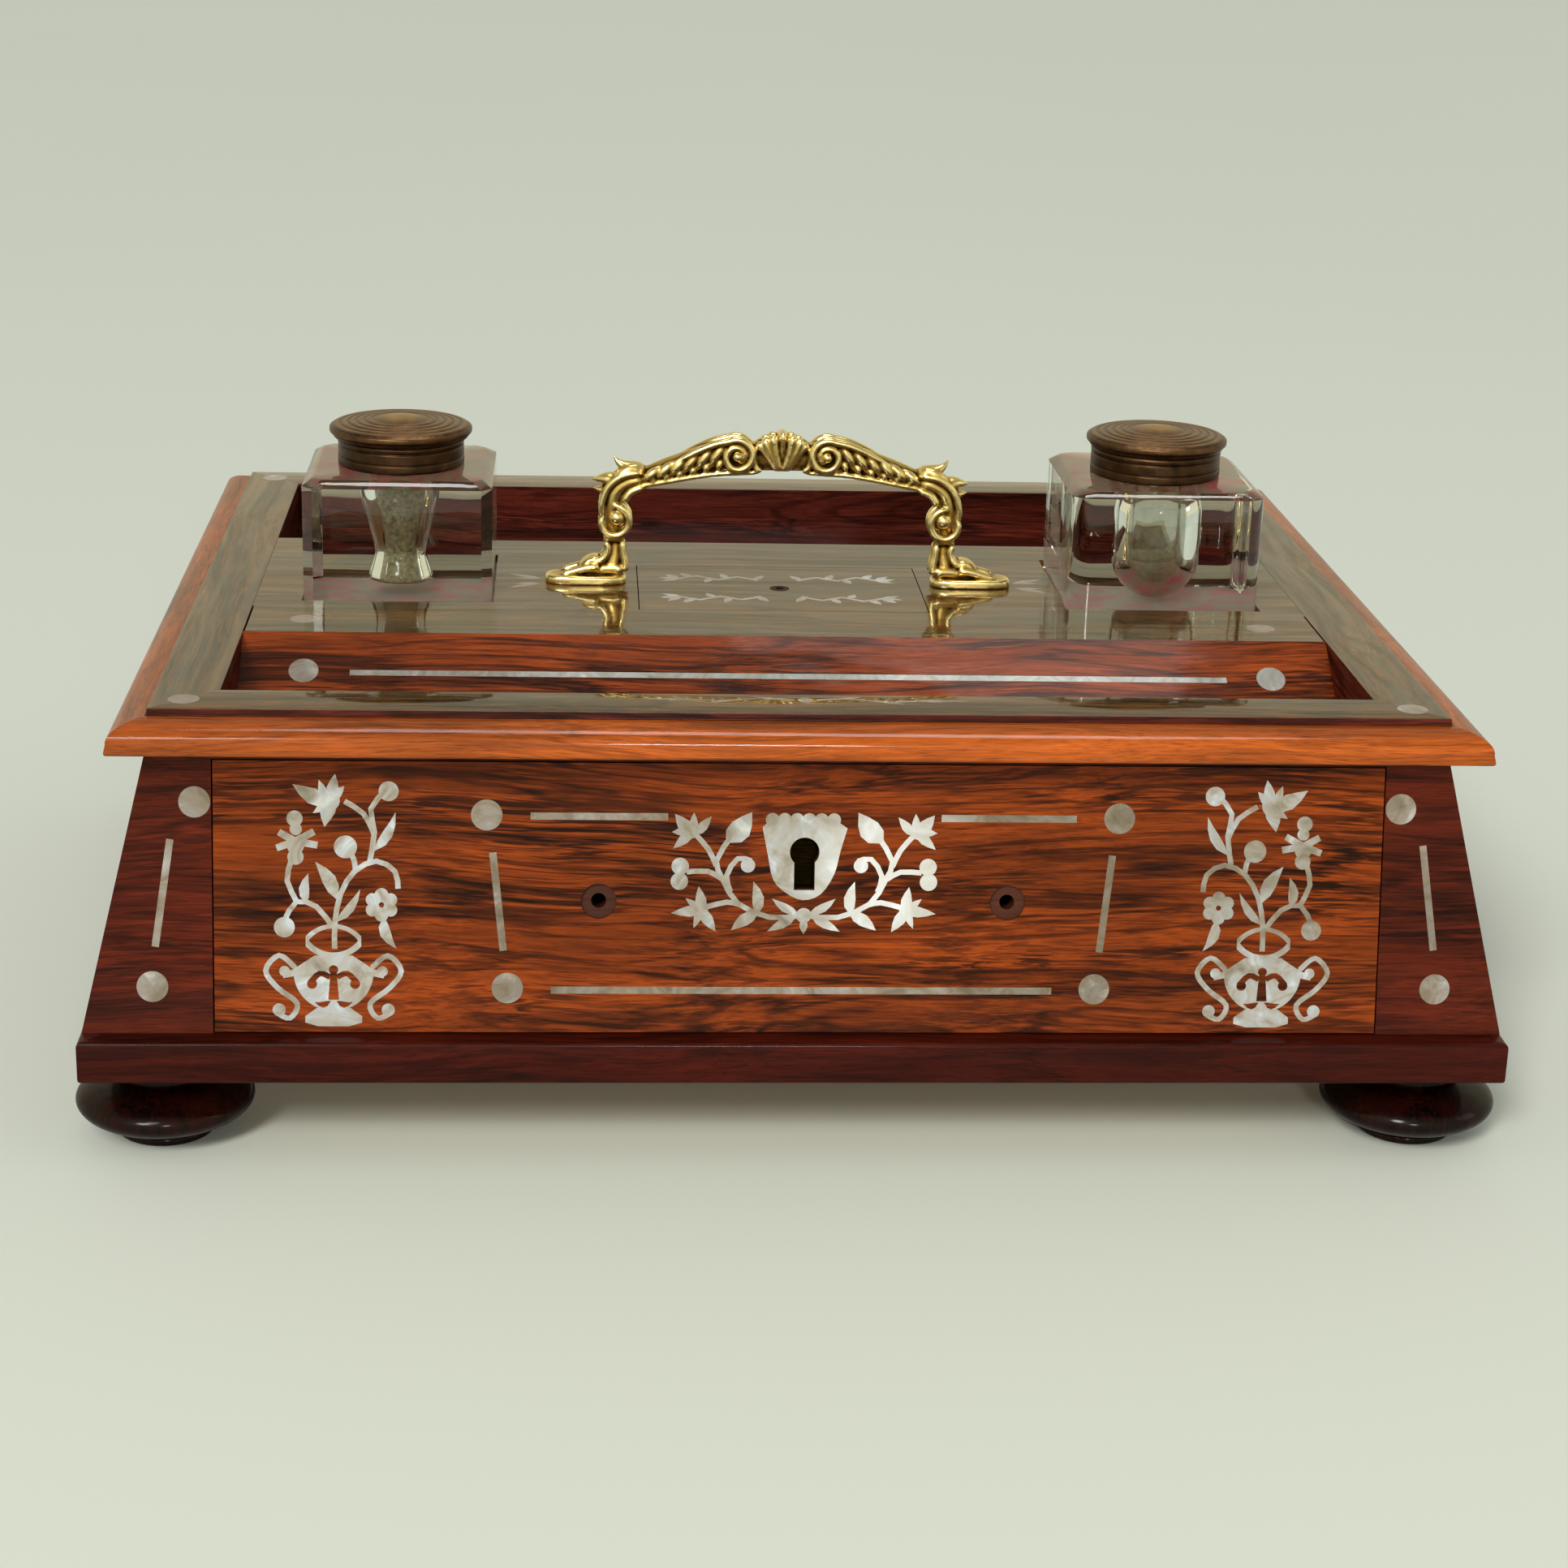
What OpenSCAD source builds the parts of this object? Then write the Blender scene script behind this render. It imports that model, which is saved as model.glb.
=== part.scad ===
// Rosewood desk stand with one long drawer, mother-of-pearl inlay, a cast brass
// handle and two square glass inkwells. Millimetres. The origin is on the table
// under the middle of the stand, +Z is up and the drawer opens towards -Y.

/* [Feet] */
// Greatest radius of a turned bun foot
foot_r = 23.5; // [18:0.5:26]
// Height of a foot from the table to the plinth
foot_h = 24; // [18:0.5:32]
// Distance of a foot's axis from the plinth's side
foot_from_side = 19; // [17:0.5:30]
// Distance of a foot's axis from the plinth's front or back
foot_from_front = 26; // [24:0.5:40]
// Radius of the turned spigot glued into the bottom board
spigot_r = 5; // [3:0.5:8]
// Length of that spigot
spigot_h = 8; // [4:0.5:10]

/* [Plinth] */
// How far the plinth stands out beside and in front of the case
plinth_step = [0.5, 7]; // [0.5:0.5:10]
// Height of the plinth and the bottom board
plinth_h = 11.5; // [10:0.5:16]
// Width of the rosewood band round the bottom board
plinth_band = 9; // [6:0.5:12]

/* [Case] */
// Width of the case at its foot
case_w = 377; // [370:1:378]
// Depth of the case at its foot
case_d = 292; // [286:1:300]
// Height of the sloping case
case_h = 75.5; // [70:0.5:90]
// How far each side leans in over the height
side_lean = 17.8; // [12:0.2:20]
// How far front and back lean in over the height
front_lean = 14; // [10:0.2:15]
// Thickness of the side and back boards
wall = 9; // [7:0.5:10]
// Width of each stile beside the drawer, at its foot
stile_w = 34.5; // [30:0.5:40]
// Height of the rail above the drawer
rail_h = 4.2; // [3.5:0.1:6]
// Width and height of the strips that guide the drawer
guide = [8, 12]; // [6:1:14]

/* [Drawer] */
// Gap round the drawer front
drawer_gap = 0.4; // [0.3:0.05:0.8]
// Thickness of the drawer front's core
core_t = 8.2; // [7:0.1:9]
// Thickness of the rosewood veneer and the pearl let into it
veneer_t = 1.2; // [0.8:0.1:1.6]
// Thickness of the drawer's sides and back
drawer_wall = 6; // [5:0.5:8]
// Thickness of the drawer's bottom
drawer_floor = 3; // [2.5:0.5:4]
// Height of the drawer's bottom above the bottom board
drawer_floor_up = 4.5; // [4:0.5:7]
// Room left between the drawer and the back of the case
drawer_room = 13.8; // [8:0.2:60]
// Distance between the two knob holes
knob_pitch = 108; // [90:1:120]
// Radius of a knob screw's hole
knob_hole_r = 2; // [1.5:0.1:3]
// Radius of the round seat that a knob's collar left in the veneer
knob_seat_r = 4.7; // [4:0.1:6]
// Height of the knob holes up the sloping front
knob_up = 35.5; // [30:0.5:42]

/* [Lock] */
// Width of the lock
lock_w = 40; // [36:1:46]
// Thickness of the lock
lock_t = 5.4; // [5:0.1:6]
// Width of the bolt
bolt_w = 14; // [10:0.5:18]
// Thickness of the bolt
bolt_t = 2.4; // [2:0.1:2.8]
// Gap between the bolt and the rail that it rises behind
bolt_gap = 0.4; // [0.3:0.05:0.6]
// Radius of the round head of the keyhole
key_r = 3.9; // [3:0.1:4]
// Distance of the keyhole's round head below the top of the drawer front
key_down = 23.3; // [21:0.1:25]

/* [Tray] */
// How far the moulded top stands out beside and in front of the case
top_overhang = [9.3, 13]; // [6:0.1:16]
// Width of each mitred rail with its moulding
frame_w = 27; // [25:0.5:29]
// Thickness of the rails
frame_t = 10; // [9:0.5:12]
// Width of the moulding outside the flat of a rail
mould_w = 10; // [8:0.5:12]
// Thickness of the boards lining the tray
lining_t = 4; // [3:0.5:4.5]
// Thickness of the deck
deck_t = 6; // [5.5:0.5:7]
// Thickness of the board under the whole tray
base_t = 3; // [2.5:0.5:4]
// Depth of the front trough
trough_depth = 20; // [18:0.5:21]
// Width of the front trough's level floor
trough_floor_w = 28.5; // [26:0.1:32]
// Width that the trough's sloping rear board takes up
trough_run = 27.5; // [24:0.5:32]
// Width of the strip between the trough and the deck
strip_w = 26.7; // [24:0.1:28]
// Depth of the well behind the deck
well_depth = 15.6; // [12:0.1:16]
// Depth of the deck between the strip and the well
deck_d = 79.6; // [78:0.1:82]

/* [Compartment] */
// Distance from a screw of the handle to the side of the small inlaid lid
lid_from_screw = 14; // [12:0.5:20]
// Depth of the small inlaid lid
lid_d = 50; // [45:1:52]
// Gap round the lid
lid_gap = 0.3; // [0.2:0.05:0.5]
// Width of the ledge that carries the lid
ledge = 3.2; // [2.5:0.1:5]
// Thickness of the compartment's walls
comp_wall = 4; // [3.5:0.5:5]
// Radius of the hole left by the lid's knob
lid_hole_r = 1.8; // [1.2:0.1:2.5]

/* [Inkwells] */
// Distance of each inkwell's middle from the side of the tray
ink_from_side = 41; // [38:0.5:45]
// Distance of the inkwells' middles behind the strip
ink_from_strip = 33.8; // [32:0.1:38]
// Width of the left glass block, which has cut corners
glass_left_w = 54.4; // [50:0.2:56]
// Width of the right glass block, which has round corners
glass_right_w = 57; // [52:0.2:58]
// Height of the glass blocks
glass_h = 37.4; // [34:0.1:42]
// Cut or radius of the glass corners
glass_corner = [3, 6]; // [2:0.5:7]
// Cut along the top edges of the glass
glass_bevel = [3, 1.6]; // [1:0.1:4]
// Depth of the recess that holds a glass block
recess = 3; // [2:0.1:3.5]
// Thickness of the red felt in a recess
felt_t = 0.6; // [0.4:0.1:1]
// Gap between the glass and its recess
glass_gap = 0.4; // [0.3:0.05:0.8]
// Radius of the glass neck inside the collar
neck_r = 15.6; // [15:0.1:16.5]
// Height of that neck
neck_h = 5; // [3:0.5:6]
// Radius of the neck's mouth
mouth_r = 11.5; // [9:0.5:13]
// Outer radius of the brass collar
collar_r = 18.4; // [18:0.1:19]
// Height of the collar
collar_h = 8; // [7:0.1:10]
// Radius of the lid's brim
brim_r = 20.8; // [20:0.1:22]
// Thickness of the lid's brim
brim_t = 3.2; // [2.6:0.1:4]
// Rise of the ringed dome above the brim
dome_h = 3; // [2:0.1:4]
// Radius of the hinge pin
pin_r = 0.9; // [0.7:0.1:1.1]
// Radius of the hinge knuckles
knuckle_r = 2; // [1.8:0.1:2.4]
// Width of the lid's knuckle
knuckle_w = 5.8; // [4:0.2:8]

/* [Handle] */
// Room between a foot of the handle and the wider glass block
handle_room = 14.5; // [8:0.5:20]
// Height of the handle above the deck
handle_h = 46.5; // [42:0.5:52]
// Thickness of the handle's scrolls from front to back
handle_t = 7.4; // [6:0.2:9]
// Width of the feet from front to back
handle_foot_t = 10.4; // [9:0.2:12]
// Distance of the handle's middle behind the strip
handle_from_strip = 31.3; // [28:0.1:36]
// Radius of the screws that hold the handle
handle_screw_r = 1.6; // [1.2:0.1:2]

/* [Inlay] */
// Radius of the pearl dots on the front
dot_r = 4.1; // [3.5:0.1:4.5]
// Width of the pearl lines
line_w = 1.9; // [1.4:0.1:2.4]
// Distance of an urn spray's middle from the end of the drawer front
urn_from_end = 30.9; // [28:0.1:34]
// Distance of the dots and line of the trough down its sloping board
trough_pearl_down = 13.6; // [10:0.1:20]
// Width of a flower stem
stem_w = 1.4; // [1.1:0.1:1.8]

/* [Hidden] */
$fn = 48;
fine = 0.01;
cut = 1;
run_fit = 0.05;
z_plinth = foot_h;
z_case = z_plinth + plinth_h;
z_frame = z_case + case_h;
z_deck = z_frame + frame_t;
tilt = atan(front_lean / case_h);
side_tilt = atan(side_lean / case_h);
trough_angle = atan(trough_depth / trough_run);
plinth_w = case_w + 2 * plinth_step[0];
plinth_d = case_d + 2 * plinth_step[1];
top_w = case_w - 2 * side_lean + 2 * top_overhang[0];
top_d = case_d - 2 * front_lean + 2 * top_overhang[1];
front_t = core_t + veneer_t;
open_w = top_w - 2 * frame_w;
open_d = top_d - 2 * frame_w;
z_floor = z_deck - trough_depth;
z_base = z_floor - base_t;
arris_y = -open_d / 2 + trough_floor_w + trough_run;
strip_y = arris_y + strip_w;
well_y = strip_y + deck_d;
z_deck_under = z_deck - deck_t;
foot_x = plinth_w / 2 - foot_from_side;
foot_y = plinth_d / 2 - foot_from_front;
drawer_w = case_w - 2 * stile_w;
front_lo = z_case + drawer_gap;
front_hi = z_frame - rail_h - drawer_gap;
drawer_top = z_base - drawer_gap;
drawer_side_x = drawer_w / 2 - 2;
drawer_back_y = -face_y(drawer_top) - wall / cos(tilt) - drawer_room;
lock_depth = front_t - lock_t;
lock_top = (front_hi - z_case) / cos(tilt);
key_up = lock_top - key_down;
lock_bottom = key_up - 13;
bolt_depth = lock_depth + (lock_t - bolt_t) / 2;
bolt_len = lock_top - key_up - key_r - 4;
glass_z = z_deck - recess + felt_t;
glass_top = glass_z + glass_h;
lid_z = glass_top + collar_h;
hinge_back = brim_r + 1.8;
hinge_z = lid_z + 0.1;
recess_z = z_deck - recess;
ink_x = open_w / 2 - ink_from_side;
ink_y = strip_y + ink_from_strip;
handle_span = 2 * (ink_x - glass_right_w / 2 - handle_room);
handle_y = strip_y + handle_from_strip;
screw_x = handle_span / 2 - 13;
lid_size = [2 * (screw_x - lid_from_screw), lid_d];
lid_y = strip_y + lid_gap + lid_d / 2;
urn_x = drawer_w / 2 - urn_from_end;
rosewood = "#7a3015";
rosewood_dark = "#4a1c10";
ebonised = "#24100c";
mahogany = "#8a4a2a";
pine = "#c9a06c";
brass = "#b8963e";
bronze = "#5a4630";
pearl = "#dcdacb";
felt = "#9c3a44";
glass = [0.86, 0.92, 0.92, 0.45];

// Places on the leaning faces of the case
function face_y(z) = -case_d / 2 + (z - z_case) * front_lean / case_h;
function face_x(z) = case_w / 2 - (z - z_case) * side_lean / case_h;
function back_face_y(z) = face_y(z) + front_t / cos(tilt);

// A smooth run of points through a few hand-picked ones
function blend(a, b, c, d, t) = 0.5 * (2 * b + (c - a) * t + (2 * a - 5 * b + 4 * c - d) * t * t
    + (3 * b - 3 * c + d - a) * t * t * t);
function at(p, i) = p[min(max(i, 0), len(p) - 1)];
function smooth(p, n = 4) = [for (i = [0 : len(p) - 2], k = [0 : n - 1])
    blend(at(p, i - 1), p[i], p[i + 1], at(p, i + 2), k / n), p[len(p) - 1]];
function unit(v) = v / norm(v);
function side_of(p, i) = let (d = unit(at(p, i + 1) - at(p, i - 1))) [-d[1], d[0]];

// A flat stroke along a smooth run, w0 wide at its start and w1 at its end
module stroke(points, w0, w1, n = 4) {
    p = smooth(points, n);
    last = len(p) - 1;
    w = [for (i = [0 : last]) (w0 + (w1 - w0) * i / last) / 2];
    polygon(concat(
        [for (i = [0 : last]) p[i] + side_of(p, i) * w[i]],
        [for (i = [last : -1 : 0]) p[i] - side_of(p, i) * w[i]]));
}

module stem(points) {
    stroke(points, stem_w, stem_w, 2);
}

// A pointed leaf from a to b, w wide, with its belly pushed sideways by bend
module leaf(a, b, w, bend = 0) {
    along = b - a;
    side = [-along[1], along[0]] / norm(along);
    function spot(t, s) = a + along * t + side * (4 * bend * t * (1 - t) + s * w / 2 * sin(180 * pow(t, 0.8)));
    polygon(concat(
        [for (t = [0 : 0.25 : 1]) spot(t, 1)],
        [for (t = [0.75 : -0.25 : 0.25]) spot(t, -1)]));
}

module disc(p, r) {
    translate(p) circle(r, $fn = 28);
}

// Local x runs along the front, y up its slope and z out of it
module on_front() {
    translate([0, -case_d / 2, z_case]) rotate([90 - tilt, 0, 0]) children();
}

// Extrudes a flat outline inwards from depth a to depth b below the front
module let_in(a, b) {
    on_front() translate([0, 0, -b]) linear_extrude(b - a) children();
}

// A board parallel to the front, between depths a and b and heights z0 and z1
module front_board(x0, x1, z0, z1, a, b) {
    translate([x0, 0, 0]) rotate([90, 0, 90]) linear_extrude(x1 - x0)
        polygon([[face_y(z0) + a / cos(tilt), z0], [face_y(z1) + a / cos(tilt), z1],
            [face_y(z1) + b / cos(tilt), z1], [face_y(z0) + b / cos(tilt), z0]]);
}

// The case as one solid, its walls moved in by ix at the sides and iy front and back
module case_block(ix, iy) {
    intersection() {
        rotate([90, 0, 0]) linear_extrude(case_d + cut, center = true)
            polygon([for (s = [[-1, 0], [1, 0], [1, 1], [-1, 1]])
                [s[0] * (face_x(z_case + s[1] * case_h) - ix / cos(side_tilt)), z_case + s[1] * case_h]]);
        rotate([90, 0, 90]) linear_extrude(case_w + cut, center = true)
            polygon([for (s = [[-1, 0], [1, 0], [1, 1], [-1, 1]])
                [-s[0] * (face_y(z_case + s[1] * case_h) + iy / cos(tilt)), z_case + s[1] * case_h]]);
    }
}

// A square-cornered slab from its low corner to its high corner
module slab(lo, hi) {
    translate(lo) cube(hi - lo);
}

// One mitred member of a frame: side 0 is right, 90 back, 180 left, -90 front
module mitred(side, inner, outer) {
    k = abs(side) == 90 ? 1 : 0;
    rotate([0, 0, side]) intersection() {
        children();
        linear_extrude(z_deck + cut)
            polygon([[inner[k], -inner[1 - k]] / 2, [outer[k], -outer[1 - k]] / 2,
                [outer[k], outer[1 - k]] / 2, [inner[k], inner[1 - k]] / 2]);
    }
}

// Bun feet
module foot(sx, sy) {
    pad_r = foot_r * 0.55;
    belly_z = foot_h * 0.46;
    waist_r = foot_r * 0.68;
    waist_z = foot_h * 0.88;
    belly = [for (a = [-70 : 14 : 70])
        [pad_r + (foot_r - pad_r) * cos(a * 90 / 70), belly_z + (a < 0 ? belly_z : waist_z - belly_z) * sin(a) / sin(70)]];
    color(ebonised) translate([sx * foot_x, sy * foot_y, 0]) rotate_extrude($fn = 96)
        polygon(concat([[0, 0]], belly, [[waist_r, waist_z], [waist_r, foot_h],
            [spigot_r, foot_h], [spigot_r, foot_h + spigot_h], [0, foot_h + spigot_h]]));
}

module foot_front_left() { foot(-1, -1); }
module foot_front_right() { foot(1, -1); }
module foot_back_left() { foot(-1, 1); }
module foot_back_right() { foot(1, 1); }

// Plinth
module plinth_member(side) {
    inner = [plinth_w - 2 * plinth_band, plinth_d - 2 * plinth_band];
    color(ebonised) mitred(side, inner, [plinth_w, plinth_d])
        translate([0, -plinth_w, z_plinth]) cube([plinth_w, 2 * plinth_w, plinth_h]);
}

module plinth_front() { plinth_member(-90); }
module plinth_back() { plinth_member(90); }
module plinth_left() { plinth_member(180); }
module plinth_right() { plinth_member(0); }

module bottom_board() {
    half = [plinth_w / 2 - plinth_band, plinth_d / 2 - plinth_band];
    color(pine) difference() {
        slab([-half[0], -half[1], z_plinth], [half[0], half[1], z_case]);
        for (x = [-foot_x, foot_x], y = [-foot_y, foot_y])
            translate([x, y, z_plinth - cut]) cylinder(r = spigot_r + run_fit, h = spigot_h + cut);
    }
}

// Case
module case_side(s) {
    color(rosewood_dark) difference() {
        case_block(0, wall);
        case_block(wall, -cut);
        translate([-s * case_w, 0, z_case + case_h / 2]) cube([2 * case_w, 2 * case_d, 2 * case_h], center = true);
    }
}

module case_side_left() { case_side(-1); }
module case_side_right() { case_side(1); }

module case_back() {
    color(rosewood_dark) difference() {
        case_block(0, 0);
        case_block(-cut, wall);
        translate([0, -case_d / 2, z_case + case_h / 2]) cube([2 * case_w, case_d, 2 * case_h], center = true);
    }
}

module stile_pearl() {
    slope = case_h / cos(tilt);
    for (up = [12.4, slope - 15.6])
        disc([face_x(z_case + up * cos(tilt)) - 15.6, up], dot_r);
    stroke([[face_x(z_case + 23) - 13.9, 23], [face_x(z_frame - 24.5) - 11.4, slope - 25.4]], line_w, line_w, 1);
}

module stile(s) {
    color(rosewood) difference() {
        case_block(0, 0);
        case_block(-cut, wall);
        translate([0, case_d / 2, z_case + case_h / 2]) cube([2 * case_w, case_d, 2 * case_h], center = true);
        translate([-s * (case_w - drawer_w / 2 - drawer_gap), 0, z_case + case_h / 2])
            cube([2 * case_w, 2 * case_d, 2 * case_h], center = true);
        let_in(-cut, veneer_t) mirror([s < 0 ? 1 : 0, 0]) stile_pearl();
    }
}

module stile_left() { stile(-1); }
module stile_right() { stile(1); }

module stile_inlay() {
    color(pearl) for (s = [0, 1])
        let_in(0, veneer_t) mirror([s, 0]) stile_pearl();
}

// The rail over the drawer stands in front of the bolt, and its blocks on either side of it
module top_rail() {
    x = drawer_w / 2 + drawer_gap;
    color(mahogany) front_board(-x, x, z_frame - rail_h, z_frame, 0, bolt_depth - bolt_gap);
}

module rail_blocks() {
    near = bolt_w / 2 + 1.5 * bolt_gap;
    far = drawer_w / 2 + drawer_gap;
    low = z_frame - rail_h;
    depth = (bolt_depth - bolt_gap) / cos(tilt);
    lining_y = -open_d / 2 - lining_t;
    color(pine) for (s = [0, 1]) mirror([s, 0, 0])
        translate([near, 0, 0]) rotate([90, 0, 90]) linear_extrude(far - near)
            polygon([[face_y(low) + depth, low], [face_y(z_frame) + depth, z_frame], [lining_y, z_frame], [lining_y, low]]);
}

module drawer_guide(s) {
    x = drawer_side_x + drawer_gap;
    front = back_face_y(z_case + guide[1]) + drawer_gap;
    back = -face_y(z_case + guide[1]) - wall / cos(tilt);
    color(pine) mirror([s, 0, 0]) slab([x, front, z_case], [x + guide[0], back, z_case + guide[1]]);
}

module drawer_guide_left() { drawer_guide(1); }
module drawer_guide_right() { drawer_guide(0); }

module drawer_stops() {
    h = drawer_floor_up - 0.6;
    front = back_face_y(z_case + h) + drawer_gap / 2;
    color(pine) for (s = [0, 1]) mirror([s, 0, 0])
        slab([drawer_w / 4, front, z_case], [drawer_w / 4 + 24, front + 10, z_case + h]);
}

// Drawer
module keyhole() {
    slot_w = key_r * 1.4;
    slot_h = key_r * 2.6;
    disc([0, key_up], key_r);
    translate([-slot_w / 2, key_up - slot_h]) square([slot_w, slot_h]);
}

module knob_places() {
    for (s = [-1, 1])
        translate([s * knob_pitch / 2, knob_up]) children();
}

module drawer_front() {
    x = drawer_w / 2;
    color(mahogany) difference() {
        front_board(-x, x, front_lo, front_hi, veneer_t, front_t);
        let_in(0, front_t + cut) keyhole();
        on_front() knob_places() translate([0, 0, -front_t - cut]) cylinder(r = knob_hole_r, h = front_t + cut);
        let_in(lock_depth, front_t + cut) translate([-lock_w / 2, lock_bottom]) square([lock_w, case_h]);
        lock_screw_places() cylinder(r = 0.8, h = lock_t + 2);
    }
}

module drawer_veneer() {
    x = drawer_w / 2;
    color(rosewood) difference() {
        front_board(-x, x, front_lo, front_hi, 0, veneer_t);
        let_in(-cut, veneer_t + cut) front_cutouts();
    }
}

module front_cutouts() {
    knob_places() circle(knob_seat_r);
    keyhole();
    tulip();
    front_stringing();
    centre_flowers();
    for (s = [0, 1]) mirror([s, 0]) urn_place() urn_flowers();
}

module drawer_side(s) {
    x = drawer_side_x;
    color(mahogany) mirror([s, 0, 0]) translate([x - drawer_wall, 0, 0]) rotate([90, 0, 90]) linear_extrude(drawer_wall)
        polygon([[back_face_y(front_lo), front_lo], [back_face_y(drawer_top), drawer_top],
            [drawer_back_y, drawer_top], [drawer_back_y, front_lo]]);
}

module drawer_side_left() { drawer_side(1); }
module drawer_side_right() { drawer_side(0); }

module drawer_back() {
    x = drawer_side_x - drawer_wall;
    floor_top = z_case + drawer_floor_up + drawer_floor;
    color(mahogany) slab([-x, drawer_back_y - drawer_wall, floor_top], [x, drawer_back_y, drawer_top - 6]);
}

module drawer_bottom() {
    x = drawer_side_x - drawer_wall;
    z = z_case + drawer_floor_up;
    color(pine) translate([-x, 0, 0]) rotate([90, 0, 90]) linear_extrude(2 * x)
        polygon([[back_face_y(z), z], [back_face_y(z + drawer_floor), z + drawer_floor],
            [drawer_back_y, z + drawer_floor], [drawer_back_y, z]]);
}

// Lock
module lock_screw_places() {
    for (p = [[-lock_w / 2 + 4, lock_bottom + 4], [lock_w / 2 - 4, lock_bottom + 4],
        [-lock_w / 2 + 4, lock_top - 6], [lock_w / 2 - 4, lock_top - 6]])
        on_front() translate([p[0], p[1], -front_t]) children();
}

module lock_case() {
    color(brass) difference() {
        intersection() {
            let_in(lock_depth, front_t) translate([-lock_w / 2, lock_bottom]) square([lock_w, case_h]);
            front_board(-lock_w, lock_w, z_case, front_hi, 0, 2 * front_t);
        }
        let_in(bolt_depth - 0.1, bolt_depth + bolt_t + 0.1)
            translate([-bolt_w / 2 - 0.2, lock_bottom + 3]) square([bolt_w + 0.4, case_h]);
        let_in(lock_depth - cut, bolt_depth) keyhole();
        lock_screw_places() translate([0, 0, -fine]) cylinder(r = 0.8, h = lock_t + cut);
    }
}

module lock_bolt() {
    color(brass) intersection() {
        let_in(bolt_depth, bolt_depth + bolt_t)
            translate([-bolt_w / 2, lock_top - bolt_len]) square([bolt_w, bolt_len + cut]);
        front_board(-bolt_w, bolt_w, z_case, front_hi, 0, 2 * front_t);
    }
}

module lock_screws() {
    color(brass) lock_screw_places() cylinder(r = 0.8, h = lock_t + 2);
}

// Pearl let into the front. The urns are drawn for a front 72.1 mm high and the rest for a keyhole at 48.8 mm
module urn_place() {
    translate([-urn_x, 0]) scale(lock_top / 72.1) children();
}

module at_key() {
    translate([0, key_up - 48.8]) children();
}

module tulip() {
    rim = 59.2;
    scallops = 6;
    difference() {
        at_key() {
            polygon(concat([[-11.2, 55.4]], smooth([[-11.2, 55.4], [-9.7, 48], [-8.2, 41.4], [-4.6, 37.8], [-0.3, 36],
                [4.4, 37.6], [7.9, 43], [9.4, 49], [11.2, 55.2]], 3), [[8, 57.4], [-9, 57.4]]));
            for (i = [0 : scallops - 1])
                disc([-8.6 + i * 16.2 / (scallops - 1), 57.4], rim - 57.4);
        }
        keyhole();
    }
}

module front_stringing() {
    high = urn_x - 39.8;
    low = urn_x - 45.3;
    line_end = 11.4;
    spray_end = 36;
    for (s = [0, 1]) mirror([s, 0]) {
        disc([high, lock_top - 13.9], dot_r);
        disc([low, 12.2], dot_r);
        stroke([[high - 1.6, lock_top - 23.8], [low + 1.1, 22.2]], line_w, line_w, 1);
        translate([spray_end, lock_top - 14.1 - line_w / 2]) square([high - line_end - spray_end, line_w]);
    }
    translate([line_end - low, 11.7 - line_w / 2]) square([2 * (low - line_end), line_w]);
}

module flower_half() {
    leaf([-2, 31.6], [-9.6, 27.6], 2.6);
    leaf([-1.4, 32.4], [-8.4, 36.4], 2.4, 0.5);
    stem([[-1, 31.8], [-9, 31.4], [-17.4, 35], [-21.4, 41.3], [-23.2, 46.4], [-19.6, 52.6]]);
    leaf([-20.8, 51.2], [-14, 59.4], 6, -0.6);
    stem([[-23.2, 45], [-25.3, 49.4], [-28.6, 53.2]]);
    leaf([-29.2, 52.6], [-34.2, 58.8], 3.8);
    leaf([-29.4, 53.4], [-29.2, 59.2], 2.4);
    leaf([-28.8, 53.2], [-24.6, 58.2], 2.6);
    leaf([-29, 54.2], [-35, 54], 2.6);
    leaf([-29, 54.6], [-34.6, 49.6], 2.8);
    disc([-29.8, 54.2], 1.9);
    stem([[-21.8, 41.6], [-25.4, 43.6], [-31, 43.4]]);
    disc([-32.7, 44.9], 2.3);
    disc([-32.9, 40.9], 2.3);
    stem([[-19.4, 38.2], [-20.5, 42.4], [-17.6, 47], [-14, 46.4]]);
    disc([-14.9, 45.2], 1.9);
    stem([[-17.2, 34.8], [-20.4, 35.4], [-26, 34]]);
    leaf([-26.6, 32.4], [-27.8, 39.6], 3);
    leaf([-25.6, 33.4], [-35, 32.4], 3);
    leaf([-27.6, 34], [-23.2, 27.5], 3.2);
    leaf([-26.8, 34.2], [-29, 28.4], 2.2);
    leaf([-26.4, 32.6], [-31.2, 36.4], 2.2);
    disc([-27.1, 33.4], 1.8);
    leaf([-12.4, 31.8], [-13.4, 41], 3.2, -0.8);
    leaf([-12, 32.6], [-19.2, 27.9], 3.4, -0.4);
}

module centre_flowers() {
    at_key() {
        for (s = [0, 1]) mirror([s, 0]) flower_half();
        leaf([0, 31], [0, 26.9], 2.2);
        disc([0, 31.9], 2);
    }
}

module urn_stems() {
    stem([[0.3, 22.6], [0.4, 29.4], [1.9, 37.2], [5.6, 43.2], [11.2, 45.9], [16, 43.2], [16.8, 38.6]]);
    stem([[9.4, 45.2], [10.7, 53.6], [9.8, 59.6], [13.4, 64.3]]);
    stem([[10.6, 53], [8, 58.3], [3, 61.6]]);
    stem([[5.8, 43.4], [5.4, 46.2], [4.2, 48.6]]);
    stem([[-0.2, 28.4], [-4.4, 33.8], [-9.6, 35], [-12.7, 30]]);
    stem([[-9.3, 34.8], [-11.9, 40.6], [-10.9, 45.6]]);
}

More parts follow.
